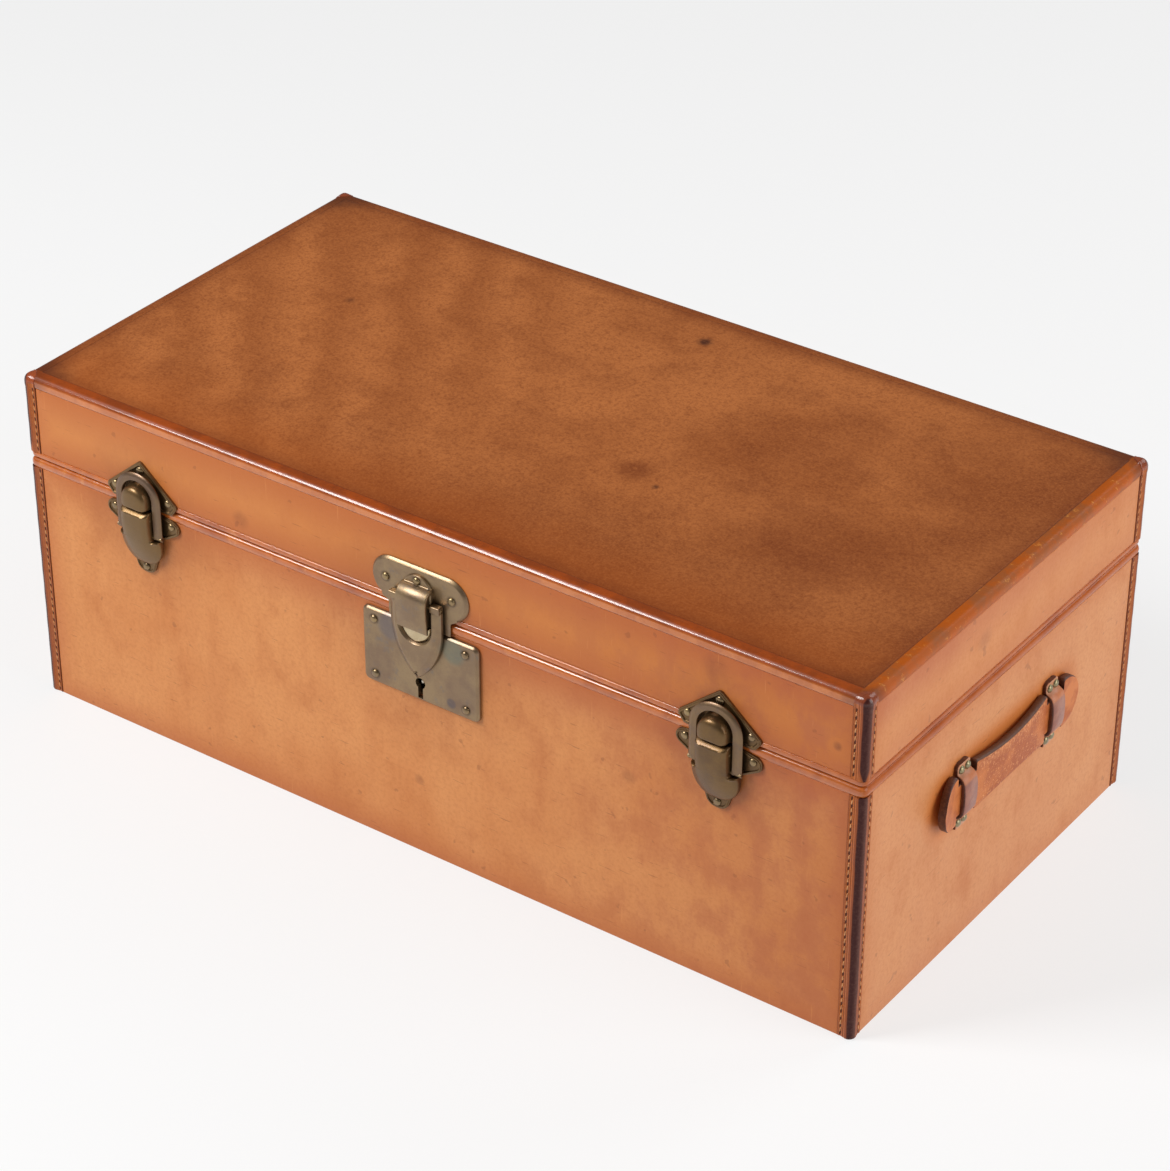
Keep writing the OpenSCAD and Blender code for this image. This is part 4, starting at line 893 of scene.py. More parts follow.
def add_panels(body, low_z, high_z, seed, opening=None):
    """Front, back and end panels between two heights; the front one may be cut out for a lock."""
    along_x, along_y = HALF_X - WELT, HALF_Y - WELT
    low, high = low_z - SEAM, high_z - SEAM
    front = panel((-along_x, low), (along_x, high), seed, opening).placed(on_front())
    back = turned_about(panel((-along_x, low), (along_x, high), seed + 1).placed(on_front()))
    end = panel((-along_y, low), (along_y, high), seed + 2).placed(on_end(1, SEAM))
    ends = end + turned_about(panel((-along_y, low), (along_y, high), seed + 3).placed(on_end(1, SEAM)))
    for name, shape in (("front_leather", front), ("back_leather", back), ("end_leathers", ends)):
        node = f"{body}_{name}"
        piece(f"{node}_panel", shape, [TAN], body, [node], crease=50)


lock_low, lock_high = (corner[[0, 2]] - (0, SEAM) for corner in reach("lock_housing"))
add_panels("case", 0.0, BEAD_BOTTOM, 1, (lock_low, lock_high))
add_panels("lid", BINDING_TOP, TURN_BOTTOM, 5)

# %% [markdown]
# Three strips run right round the trunk: the rolled bead on the rim of the case, the binding on the rim of
# the lid, and the top leather, which is turned down over the lid's edges. Bevelled boxes would lack their
# lips, tucks and grooves. So each is one section carried round a rectangle with round corners; the section
# is a list of (distance inwards, height) points.

# %% Carry a section round the trunk
LEAST_RADIUS = 0.3


def ring(half_x, half_y, radius, height, steps=10):
    """Rectangle with round corners at a height, anticlockwise seen from above: four quarter circles whose
    centres lie a radius inside the corners."""
    angle = np.linspace(0, math.pi / 2, steps)
    sides = []
    for quarter, (sx, sy) in enumerate(((1, 1), (-1, 1), (-1, -1), (1, -1))):
        turn = angle + quarter * math.pi / 2
        sides.append(np.stack([sx * (half_x - radius) + radius * np.cos(turn),
                               sy * (half_y - radius) + radius * np.sin(turn), np.full(steps, height)], -1))
    return np.concatenate(sides)


def strip(node, profile):
    """Rows of rings for a profile of (inwards, height), measured from the outermost face of a packed node."""
    proud = reach(node)[1][0] - FACE_X
    half_x, half_y = FACE_X + proud, FACE_Y + proud
    return np.stack([ring(half_x - d, half_y - d, max(CORNER - d, LEAST_RADIUS), z) for d, z in profile])


print("a ring round the trunk has", len(ring(FACE_X, FACE_Y, CORNER, 0)), "points")


# %% Draw the bead and the binding
BEAD_WALL = 12.3
BEAD = [(BEAD_WALL, 171.7), (BEAD_WALL, CASE_TOP - 0.3), (BEAD_WALL - 0.4, CASE_TOP), (3.4, CASE_TOP),
        (2.4, 173.62), (1.5, 173.3), (0.75, 172.7), (0.25, 171.8), (0, 170.8), (0, 169.9), (0.12, 169.2),
        (0.3, 168.6), (0.34, 168.2), (0.62, 167.9), (0.7, 167.5), (1.0, BEAD_BOTTOM), (3.3, BEAD_BOTTOM),
        (3.3, 171.7)]
BINDING = [(9.9, 176.3), (2.9, 176.3), (2.9, BINDING_TOP), (1.0, BINDING_TOP), (0.55, 178.2), (0.2, 177.9),
           (0.05, 177.4), (0, 176.8), (0, 175.9), (0.15, 175.2), (0.5, 174.7), (1.0, 174.4),
           (1.7, LID_BOTTOM), (9.5, LID_BOTTOM), (9.9, LID_BOTTOM + 0.4)]
for name, node, body, profile in (("rolled_rim_bead", "case_rim_bead", "case", BEAD),
                                  ("folded_rim_binding", "lid_rim_binding", "lid", BINDING)):
    piece(name, grid(strip(node, profile), True, True), [EDGING], body, [node], crease=60)


# %% Draw the top leather
def top_profile():
    """From the lower edge of the turned-down strip, up a quarter round, over the tooled groove and on to the
    flat top."""
    arc = [(CORNER * (1 - math.cos(a)), TOP - CORNER * (1 - math.sin(a)))
           for a in np.linspace(0, math.pi / 2, 10)]
    line = GROOVE - HALF_X + reach("lid_top_leather")[1][0]
    groove = [(line + aside, TOP - deep) for aside, deep in
              ((-0.8, 0), (-0.35, 0.12), (0, 0.26), (0.35, 0.12), (0.8, 0))]
    return [(3.0, TOP - 2.8), (3.0, TURN_BOTTOM), (1.0, TURN_BOTTOM), (0.4, 224.7), (0.08, 225.2),
            (0, 225.9), *arc, *groove, (line + 3, TOP)]


top_rings = strip("lid_top_leather", top_profile())
piece("turned_down_top", grid(top_rings, loop_columns=True, caps=True), [TOPPING], "lid",
      ["lid_top_leather"], crease=60)

# %% [markdown]
# Where two panels meet at an upright corner, a strip of thinner leather is folded over the joint and sewn
# through both. The fold is burnished with a hot iron, which leaves the dark stripe; the stitches lie in a
# channel cut along each flange, so that nothing rubs them. They could be painted on, but they are seen
# against the edge of the trunk, so the thread is solid. The welt is one section carried upwards; the thread
# dips it a little at every hole.

# %% Lay out a corner welt
# Sections: the distance from the corner, and the height above the leather.
WELT_PROFILE = ((10.0, -0.4), (9.95, 0.2), (9.75, 0.42), (9.5, 0.52), (9.2, 0.5), (8.9, 0.3), (8.1, 0.26),
                (7.3, 0.3), (6.95, 0.5), (6.5, 0.6), (6.15, 0.55), (5.95, 0.42), (5.75, 0.55), (5.4, 0.8),
                (4.95, 0.93), (4.5, 0.98))
TONGUE_PROFILE = ((0, 0.8), (4, 0.8), (6.4, 0.74), (7.6, 0.6), (8.2, 0.42), (8.6, 0.4), (9.0, 0.5),
                  (9.4, 0.46), (9.7, 0.3), (9.9, 0.0), (10, -0.35))
TOP_PROUD = reach("lid_top_leather")[1][0] - FACE_X
print(f"top leather stands {TOP_PROUD:.2f} mm proud, welts {HALF_X - FACE_X:.2f} mm")


def over_top(z):
    """How far the welt is carried out where it lies on the turned-down edge of the top leather."""
    share = np.clip((z - TURN_BOTTOM + 1.2) / 2.4, 0, 1)
    return TOP_PROUD * share * share * (3 - 2 * share)


def welt_columns():
    """The welt at +x, -y as columns, from the front flange round the corner to the end one: for each its
    distance from the corner, its height, its foot on the leather, its outward direction and its place round
    the corner."""
    away, height = np.array(WELT_PROFILE).T
    angle = np.linspace(0, math.pi / 2, 9)[1:-1]
    heading = np.stack([np.sin(angle), -np.cos(angle)], -1)
    fold = np.array([HALF_X - CORNER, CORNER - HALF_Y]) + (CORNER - (HALF_X - FACE_X)) * heading
    front = np.stack([HALF_X - away, np.full(len(away), -FACE_Y)], -1)
    end = np.stack([np.full(len(away), FACE_X), away - HALF_Y], -1)[::-1]
    outward = np.concatenate([np.tile([0.0, -1.0], (len(away), 1)), heading,
                              np.tile([1.0, 0.0], (len(away), 1))])
    flat = away - CORNER + WELT_ARC
    around = np.concatenate([-flat, (angle - math.pi / 4) * CORNER, flat[::-1]])
    apart = np.concatenate([away, np.full(len(angle), CORNER), away[::-1]])
    height = np.concatenate([height, np.full(len(angle), height[-1]), height[::-1]])
    return apart, height, np.concatenate([front, fold, end]), outward, around


# %% Turn a lid welt's end over the top
def tongue(columns, rows=16):
    """The end of a lid welt, turned over the rounded edge on to the top. A column goes a length up an arc of
    90 degrees and then inwards, as far as a circle round the corner or the diagonal; its height follows the
    welt's own section by the distance from the corner."""
    apart, _, foot, outward, around = columns
    inmost = np.minimum(apart, np.sqrt(np.maximum(WELT ** 2 - apart ** 2, 0)))
    quarter = CORNER * math.pi / 2
    full = np.where(inmost < CORNER, CORNER * np.arccos(1 - np.minimum(inmost, CORNER) / CORNER),
                    quarter + inmost - CORNER)
    length = np.linspace(0, 1, rows + 1)[1:, None] * full
    turn = np.minimum(length / CORNER, math.pi / 2)
    inward = CORNER * (1 - np.cos(turn)) + np.maximum(length - quarter, 0)
    level = foot + outward * (TOP_PROUD - inward)[..., None]
    base = np.concatenate([level, (ARRIS + CORNER * np.sin(turn))[..., None]], -1)
    normal = np.concatenate([outward * np.cos(turn)[..., None], np.sin(turn)[..., None]], -1)
    far = np.hypot(HALF_X - level[..., 0], HALF_Y + level[..., 1])
    profile = np.array(TONGUE_PROFILE)
    height = np.interp(far, profile[:, 0], profile[:, 1])
    side = np.where(around < 0, -1.0, 1.0)
    chart = np.stack([np.where(far > CORNER, side * (WELT_ARC + far - CORNER), around + 0 * far),
                      ARRIS + length], -1)
    return base + normal * height[..., None], base - normal * 0.6, chart


print(f"the tongue comes up to {tongue(welt_columns())[0][..., 2].max():.2f} mm")


# %% Build a welt
def welt(low_z, high_z, tuck, capped=False):
    """One corner welt at +x, -y, and its map, (round the corner, up). A welt tucks by so much under the edge
    above it, or ends in a tongue over the top. The thread pulls it in at each hole: a bell curve across the
    channel times a cosine along it."""
    columns = welt_columns()
    _, height, foot, outward, around = columns
    z = np.unique(np.concatenate([[low_z, low_z + 0.4, low_z + 0.9, high_z - 3, high_z - 1, high_z],
                                  np.arange(low_z + 2, high_z - 2, PITCH / 4)]))
    stitched = np.exp(-((np.abs(around) - CHANNEL_AT) / 0.9) ** 2)
    pull = stitched * 0.14 * (1 + np.cos(2 * math.pi * (z / PITCH - 0.5)))[:, None]
    pull = pull + np.clip((z - high_z + 3) / 3, 0, 1)[:, None] * tuck
    pull = pull + np.clip((0.9 - z) / 0.9, 0, 1)[:, None] ** 2 * 0.8 + 0.05 * np.sin(z * 0.33)[:, None]
    over = over_top(z)[:, None] if capped else np.zeros((len(z), 1))
    rise = height * (1 - 0.2 * over / TOP_PROUD) + over - pull
    upright = np.broadcast_to(z[:, None, None], (len(z), len(around), 1))
    front = np.concatenate([foot + outward * rise[..., None], upright], -1)
    back = np.concatenate([np.broadcast_to(foot - outward * 2.4, (len(z), len(around), 2)), upright], -1)
    chart = np.stack([around + 0 * rise, upright[..., 0]], -1)
    if capped:
        skin, under, skin_chart = tongue(columns)
        front, back = np.concatenate([front, skin]), np.concatenate([back, under])
        chart = np.concatenate([chart, skin_chart])
    return between(front, back), np.concatenate([chart.reshape(-1, 2)] * 2)


print("50 mm of welt have", len(welt(0, 50, 0)[0].faces), "faces")


# %% Sew the welts
def corner_of_four(shape, sx, sy):
    """The shape mirrored to one corner of the trunk; a single mirroring turns its faces outwards again."""
    made = shape.placed(lambda p: p * (sx, sy, 1))
    if sx * sy < 0:
        made.faces = [f[::-1] for f in made.faces]
    return made


def four_corners(shape):
    """The shape at all four corners of the trunk."""
    return joined([corner_of_four(shape, sx, sy) for sx, sy in ((1, 1), (-1, 1), (1, -1), (-1, -1))])


def capsule(seat, rows=7, sides=8):
    """One slanted stitch, as (across, along, out): rings of thread whose radius follows half an ellipse."""
    along = np.linspace(-1, 1, rows)
    thick = 0.46 * np.sqrt(np.clip(1 - along ** 4, 0.02, 1))
    angle = np.linspace(0, 2 * math.pi, sides, endpoint=False)
    path = np.stack([along * 0.35, along * 1.75, np.full(rows, seat)], -1)
    rings = path[:, None] + np.stack([thick[:, None] * np.cos(angle), np.zeros((rows, sides)),
                                      thick[:, None] * np.sin(angle) * 0.8], -1)
    return grid(rings, loop_columns=True, caps=True)


def stitches(low_z, high_z, capped=False):
    """Thread on both flanges of one corner: half-sunk stitches from each awl hole to the next."""
    first = math.ceil((low_z + 2.5) / PITCH) * PITCH
    sewn = []
    for middle in np.arange(first, high_z - 2.0, PITCH):
        stitch = capsule(0.3 + (over_top(middle) if capped else 0))
        across_it, along_it, out = stitch.points.T
        sewn.append(Shape(np.stack([HALF_X - CHANNEL + across_it, -FACE_Y - out, middle + along_it], -1),
                          stitch.faces))
        sewn.append(Shape(np.stack([FACE_X + out, CHANNEL - HALF_Y - across_it, middle + along_it], -1),
                          stitch.faces))
    return joined(sewn)


def add_welts(body, node, low_z, high_z, tuck, capped=False):
    """Four welts of one shell, with their thread."""
    shape, chart = welt(low_z, high_z, tuck, capped)
    piece(f"{body}_sewn_welts", four_corners(shape), [WELTING], body, [node], crease=70,
          uv=np.concatenate([chart] * 4))
    thread = four_corners(stitches(low_z, high_z, capped))
    piece(f"{body}_welt_thread", thread, [THREAD], body, crease=80)


add_welts("case", "case_corner_welts", 0.0, BEAD_BOTTOM, 0.1)
add_welts("lid", "lid_corner_welts", BINDING_TOP, ARRIS, 0.0, capped=True)

# %% [markdown]
# The locks are brass that was never polished. It has turned a greyish brown, bluer where it was splashed
# and yellower where hands still rub it. One even colour would look new, so noise mixes three, and single
# stains lie where the real ones do. A ring of painted shade lies round each nail head of the lock. The
# steel of the press catch keeps its shine.

# %% Say where the hardware sits
LOCK_X, LATCH_X = 3.0, 211.0
LATCH_SIDES = (("left", -LATCH_X), ("right", LATCH_X))
# Nails as (along, up from the seam) about the middle of their plate.
LOCK_NAILS = [(sx * 33.5, -34.7 + sz * 19.2) for sx in (-1, 1) for sz in (-1, 1)]
LID_NAILS = [(-24, 17.1), (24, 17.1)]
TAB_NAILS = [(0, 23.1)]
BASE_NAILS = [(-22.5, -10.5), (22.5, -10.5), (0, -46.4)]
CATCH_NAILS = [(0, 21.9), (-21, 5.6), (21, 5.6)]
print("nails in the plates:", len(LOCK_NAILS + LID_NAILS + TAB_NAILS) + 2 * len(BASE_NAILS + CATCH_NAILS))


# %% Old brass
def brass(name, main, warm, cool, marks=(), roughness=0.24):
    """Old brass: brown clouds, cool stains, bright specks and fine scratches."""
    f = Finish(name)
    cloud = f.noise(17, 4, 0.6, offset=4)
    stain = f.noise(9, 4, 0.65, offset=21)
    speck = f.noise(1.1, 4, 0.75, offset=33)
    colour = f.mix(cloud.rise(0.38, 0.66), main, warm)
    colour = f.mix(stain.rise(0.56, 0.72) * 0.5, colour, cool)
    colour = f.mix(speck.rise(0.35, 0.7) * 0.3, colour, main)
    for centre, radius, share, tint in marks:
        colour = f.mix(f.spot(centre, radius, 0.3) * share, colour, tint)
    lines = scratches(f, 0.6, (9, 1, 1), 0.62, 3) + scratches(f, 0.6, (1, 1, 12), 0.64, 8)
    colour = f.mix(lines.least(1.0) * 0.25, colour, warm)
    height = speck * 0.4 + f.noise(4, 3, 0.6) * 0.8 + lines * -0.15
    return f.close(colour, cloud * 0.14 + speck * 0.16 + roughness, height, 0.07,
                   Metallic=0.88, Coat_Weight=0.2, Coat_Roughness=0.12)


# Stains on the lock: centre, radius, share and colour. A ring of painted shade round each nail head,
# where it meets the plate, is one more of them.
TAIL_STAIN, NAIL_RING_SHADE = srgb(116, 92, 80), srgb(80, 66, 52)
LOCK_STAINS = [((25.7, -159, 120.6), 3.2, 0.7, srgb(88, 82, 88)),
               ((-18.5, -159, 157), 9, 0.55, srgb(96, 94, 104)),
               ((27.6, -159, 157), 8, 0.5, srgb(104, 118, 106)),
               ((-28, -159, 128), 12, 0.35, TAIL_STAIN), ((34, -159, 130), 12, 0.35, TAIL_STAIN)]
# Painted shade round each nail head of the lock.
for places, depth in ((LOCK_NAILS, -160), (LID_NAILS, -159.4), (TAB_NAILS, -161)):
    for along, up in places:
        LOCK_STAINS.append(((LOCK_X + along, depth, SEAM + up), 3.5, 0.75, NAIL_RING_SHADE))
# The left latch's brass is made paler.
LEFT_LATCH_PALER = ((-LATCH_X, -160, 165), 45, 0.6, srgb(130, 102, 66))
LOCK_BRASS = brass("lock_brass_finish", srgb(134, 110, 86), srgb(152, 128, 96), srgb(108, 106, 108),
                   LOCK_STAINS)
LATCH_BRASS = brass("latch_brass_finish", srgb(102, 77, 51), srgb(118, 90, 54), srgb(91, 76, 63),
                    [LEFT_LATCH_PALER])
BAIL_BRASS = brass("bail_brass_finish", srgb(118, 94, 76), srgb(132, 106, 76), srgb(104, 90, 84))
NAIL_BRASS = brass("nail_brass_finish", srgb(132, 110, 82), srgb(158, 134, 94), srgb(112, 104, 92),
                   roughness=0.16)
RIVET_BRASS = brass("rivet_brass_finish", srgb(138, 128, 100), srgb(154, 142, 106), srgb(112, 122, 104),
                    roughness=0.2)
CATCH_METAL = brass("catch_metal_finish", srgb(172, 150, 116), srgb(204, 186, 150), srgb(140, 126, 100),
                    roughness=0.16)
print("stains on the lock:", len(LOCK_STAINS))


# %% Steel
def steel():
    """Bright steel with faint warm clouds."""
    f = Finish("steel_finish")
    cloud = f.noise(7, 4, 0.6)
    speck = f.noise(0.9, 4, 0.7)
    colour = f.mix(cloud.rise(0.4, 0.7), srgb(204, 198, 186), srgb(176, 156, 122))
    return f.close(colour, speck * 0.2 + 0.2, speck * 0.5 + cloud, 0.05, Metallic=0.95)


STEEL = steel()
print("made", STEEL.name)

# %% [markdown]
# Every nail is a drawn pin with a domed head, driven through the plate into the board. A flattened ball
# would be quicker, but would meet the plate in a sharp rim. The head is a profile turned about its axis,
# with an even curve that catches a point of light.

# %% Drive the nails
def dome(radius, rise):
    """Nail head: a profile of (radius, height) with a rounded rim and a domed top, as shares of both."""
    profile = ((1, 0.0), (1, 0.12), (0.94, 0.38), (0.76, 0.7), (0.5, 0.9), (0.22, 1))
    shares = [(radius * r, rise * h) for r, h in profile]
    return turned([(radius * 0.9, -0.2), *shares, (0.02, rise)], 20)


def nails(places, seat, where, radius=2.65, rise=1.6):
    """Heads at (along, up) places whose seat is so far out of the leather."""
    return joined([dome(radius, rise).moved(along, up, seat).placed(where) for along, up in places])


def brassware(name, shape, finish, body, node, crease=32.0):
    """A piece of hardware in old brass, in place of one packed piece."""
    piece(name, shape, [finish], body, [node], crease)


def on_both_latches(places):
    """Nail heads in the same plate of both latches."""
    return nails(places, 1.2, on_front(-LATCH_X)) + nails(places, 1.2, on_front(LATCH_X))


on_lock = on_front(LOCK_X)
lid_heads = nails(LID_NAILS, 2.4, on_lock) + nails(TAB_NAILS, 4.0, on_lock)
brassware("lock_plate_nail_heads", nails(LOCK_NAILS, 3, on_lock), NAIL_BRASS, "case", "lock_plate_nails")
brassware("lid_lock_nail_heads", lid_heads, NAIL_BRASS, "lid", "lid_lock_nails")
brassware("latch_base_nail_heads", on_both_latches(BASE_NAILS), NAIL_BRASS, "case", "latch_base_nails")
brassware("latch_catch_nail_heads", on_both_latches(CATCH_NAILS), NAIL_BRASS, "lid", "latch_catch_nails")

# %% [markdown]
# The centre lock. Its plate is stamped, so it has a rolled-over front edge, and it is pierced for the key,
# the staple and the stem of the press catch. The plate on the lid has two round ends and a broad chamfer,
# and a neck that reaches down over the seam. They could be slabs with bevels and cutters; rings of the
# outline, each set in by its own step, need no cutting and shape the edge as the stamp did.

# %% Draw the holes of the lock
def mirrored(corners):
    """Corners of the right half, listed upwards, completed to a whole outline."""
    return list(corners) + [(-x, y, r) for x, y, r in reversed(corners)]


KEY_UP = -48.2


def keyhole():
    """Round hole with a slot below it: an arc from one side of the slot round to the other."""
    radius, slot, bottom = 3.6, 1.8, -58.6
    start = -math.pi / 2 + math.asin(slot / radius)
    angle = np.linspace(start, start + 2 * (math.pi - math.asin(slot / radius)), 22)
    arc = np.stack([radius * np.cos(angle), KEY_UP + radius * np.sin(angle)], -1)
    return np.concatenate([arc, [[-slot, bottom], [slot, bottom]]])


def circle(x, y, radius, steps=24):
    """Points round a circle, anticlockwise."""
    angle = np.linspace(0, 2 * math.pi, steps, endpoint=False)
    return np.stack([x + radius * np.cos(angle), y + radius * np.sin(angle)], -1)


print(f"the keyhole covers {signed_area(keyhole()) / 2:.1f} square mm")


# %% Stamp the lock's plates
def lock_plate():
    """The plate with a rolled-over edge, pierced three times."""
    outline = rounded(mirrored([(42.5, -60.7, 4.0), (42.5, -8.7, 4.0)]))
    slot = rounded(mirrored([(3.6, -38.6, 0.6), (3.6, -27.2, 0.6)]), 3)
    return plate(outline, [(0.3, 0), (0, 0.3), (0, 1.35), (0.2, 1.7), (1.35, 2.8), (1.75, 3.0)],
                 [keyhole(), slot, circle(0, -14.5, 1.86)])


def lid_plate():
    """Two round ends with a broad chamfer, and the neck below them."""
    stadium = rounded(mirrored([(35, 2, 14.4), (35, 31, 14.4)]), 16)
    neck = rounded(mirrored([(22.5, -7.9, 0.7), (22.5, 0.9, 2.6), (27.5, 3.6, 1.0), (27.5, 9, 1.0)]), 6)
    return (plate(stadium, [(0.2, 0), (0, 0.2), (0, 0.5), (0.25, 0.85), (1.6, 2.2), (2.1, 2.4)])
            + plate(neck, [(0.15, 1.3), (0, 1.4), (0, 2.0), (0.35, 2.37)]))


brassware("stamped_lock_plate", lock_plate().placed(on_lock), LOCK_BRASS, "case", "lock_plate", 40)
brassware("chamfered_lid_plate", lid_plate().placed(on_lock), LOCK_BRASS, "lid", "lid_lock_plate", 40)
key_pin = turned([(0.7, -8), (1.1, -7.8), (1.1, 0.6), (0.85, 0.95), (0.02, 1.05)], 16).moved(0, KEY_UP, 0)
piece("turned_key_pin", key_pin.placed(on_lock), [STEEL], "case", ["lock_key_pin"])

# %% [markdown]
# The hasp hangs from a knuckle of sheet brass, rolled forward over the hinge pin and soldered to a round
# tab. The hasp itself is cast: two arms and a shield that comes to a point, chamfered most along its outer
# edge, with the staple that the bolt goes through on its back. They could be carved from blocks, but each
# part of them is an outline with a thickness, so the plates' function makes them too. Those that lie across
# the front are drawn as (depth, up) outlines and given their width along the front.

# %% Roll the knuckle
def pin_along(low, high, radius, edge=0.3, sides=24):
    """Round pin along the front, drawn as (out, up, along)."""
    ends = [(radius - edge, low), (radius, low + edge), (radius, high - edge), (radius - edge, high)]
    return turned(ends, sides)


def knuckle_section():
    """Sheet seen from the side, as (out, up): a flat foot with a lip, a front that comes forward by the
    square of the drop, and a quarter circle rolled over the pin. It also gives each point's share of the
    bevel."""
    back, front, low, rise, roll, lip = 2.6, 11.3, -4.3, 12.0, 8.7, -7.6
    angle = np.linspace(0, math.pi / 2, 16)
    arc = np.stack([back + roll * np.cos(angle), rise + roll * np.sin(angle)], -1)
    level = np.linspace(lip + 0.6, rise, 16)[:-1]
    barrel = np.stack([front - 1.6 * ((rise - level) / (rise - lip)) ** 2, level], -1)
    foot = [[back + 0.4, low], [8.1, low], [8.35, low - 0.3], [8.4, lip + 0.3], [8.7, lip], [9.3, lip],
            [9.6, lip + 0.2]]
    section = np.concatenate([foot, barrel, arc, [[back, rise], [back, low + 0.4]]])
    thin = np.clip((section[:, 1] - lip) / 8, 0, 1) * (section[:, 0] > 9)
    return section, np.where(section[:, 1] < rise - 0.1, 0.15 + 0.85 * thin, 1.0)


def knuckle():
    """The rolled sheet across the front, its round tab and the ridge of solder between them."""
    half = 11.0
    section, share = knuckle_section()
    side = [(2.6, half - 0.9), (2.3, half - 0.2), (1.9, half), (0.7, half), (0.2, half - 0.3),
            (0, half - 0.8)]
    steps = [(d, -h) for d, h in side] + side[::-1]
    rolled = plate(section, steps, share=share).placed(sideways)
    tab = plate(circle(0, 15.7, half, 48), [(0, 2.4), (0, 3.4), (0.25, 3.8), (0.7, 4.0)])
    ridge = pin_along(-9.2, 9.2, 0.75, 0.5, 16).moved(4.0, 20.7, 0).placed(sideways)
    return rolled + tab + ridge


brassware("rolled_knuckle", knuckle().placed(on_lock), LOCK_BRASS, "lid", "hasp_bracket", 38)


# %% Cast the hasp
ARM_IN, ARM_OUT = 11.5, 18.5


def hasp_outline():
    """Arms, shield and notch, anticlockwise, and how much of the chamfer each point takes: the outer edge is
    two straight sides and two arcs that meet at the point, the notch is a half circle between two sides."""
    straight, drop, centre, top = -6.0, 37.0, -5.6, 10.0
    arc = (ARM_OUT ** 2 + drop ** 2) / (2 * ARM_OUT)
    angle = np.linspace(0, math.acos((arc - ARM_OUT) / arc), 22)
    right = np.stack([ARM_OUT - arc + arc * np.cos(angle), straight - arc * np.sin(angle)], -1)[::-1]
    left = (right * (-1, 1))[::-1]
    outer = np.concatenate([[[-ARM_OUT, top]], left, right[1:], [[ARM_OUT, top]]])
    turn = np.linspace(0, -math.pi, 24)
    inner = np.stack([ARM_IN * np.cos(turn), centre + ARM_IN * np.sin(turn)], -1)
    inner = np.concatenate([[[ARM_IN, top]], inner, [[-ARM_IN, top]]])
    share = np.concatenate([np.full(len(outer), 1.0), np.full(len(inner), 0.3)])
    return np.concatenate([outer, inner]), share


def hasp():
    """The shield, a lug round the pin at the top of each arm, and the staple with its eye on the back."""
    outline, share = hasp_outline()
    shape = plate(outline, [(0.4, 3.3), (0, 3.7), (0, 5.4), (0.35, 5.9), (4.0, 7.5), (4.6, 7.7)], share=share)
    lug = rounded([(3.1, 7.6, 0.9), (7.9, 7.6, 0.9), (7.9, 12.4, 0.9), (3.1, 12.4, 0.9)], 5)
    for low, high in ((-ARM_OUT, -ARM_IN), (ARM_IN, ARM_OUT)):
        steps = [(0.5, low), (0, low + 0.5), (0, high - 0.5), (0.5, high)]
        shape += plate(lug, steps).placed(sideways)
    staple = rounded([(-6.2, -36, 1.6), (3.6, -36, 0.3), (3.6, -28, 0.3), (-6.2, -28, 1.6)], 4)
    eye = rounded([(-5.5, -33.9, 1.2), (-1.7, -33.9, 1.2), (-1.7, -30.1, 1.2), (-5.5, -30.1, 1.2)], 4)
    return shape + plate(staple, [(0.4, -3), (0, -2.6), (0, 2.6), (0.4, 3)], [eye]).placed(sideways)


brassware("cast_hasp", hasp().placed(on_lock), LOCK_BRASS, "hasp", "hasp", 36)
hasp_pin = pin_along(-18.9, 18.9, 1.2).moved(5.5, 10, 0)
brassware("hasp_hinge_pin", hasp_pin.placed(across(on_lock)), NAIL_BRASS, "lid", "hasp_pin")


# %% Facet the press catch
def thumb_catch():
    """Half-moon of two facets that meet at an upright ridge, on a stem with a collar: its face falls by a
    share of the distance from the middle, and by a square near the rim."""
    radius, centre, top, back, stem_up, rows = 10.7, -5.6, -4.8, 5.2, -14.5, 14
    lean = np.linspace(-math.pi / 2, math.pi / 2, 31)
    down = np.linspace(0, 1, rows)
    x = radius * np.sin(lean)[None, :] * np.ones((rows, 1))
    z = top + (centre - radius * np.cos(lean) - top)[None, :] * down[:, None]
    gap = radius - np.hypot(x, z - centre)
    face = 7.6 - 0.13 * np.abs(x) - 0.8 * (1 - np.clip(gap / 0.9, 0, 1)) ** 2
    moon = between(np.stack([x, z, face], -1), np.stack([x, z, np.full_like(x, back)], -1))
    stem = turned([(1.5, -4), (1.8, -3.7), (1.8, back + 0.2)], 20).moved(0, stem_up, 0)
    collar = turned([(1.9, -1.2), (2.9, -1.2), (2.9, -0.2), (1.9, -0.2)], 20).moved(0, stem_up, 0)
    return moon + stem + collar


piece("faceted_thumb_catch", thumb_catch().placed(on_lock), [CATCH_METAL], "thumb_catch",
      ["thumb_catch"], crease=11)

# %% [markdown]
# Each draw latch has a base plate with two ears on the case and a shield on the lid. The bail hooks over
# the shield's domed catch, and the lever, folded down, draws it tight. The plates are pressed: their rims
# stand in two steps. The lever is one pressed shell, curved both ways, with shoulders that turn up a
# little. A subdivided cage could give its curves, but heights over its outline give them by formula, for
# both sides of the sheet.

# %% Press the plates of a latch
def hull(circles, steps=40):
    """Outline round circles of (x, y, radius), anticlockwise."""
    points = np.concatenate([circle(x, y, r, steps) for x, y, r in circles])
    outline = points[convex_hull_2d([Vector(p) for p in points])]
    return outline if signed_area(outline) > 0 else outline[::-1]


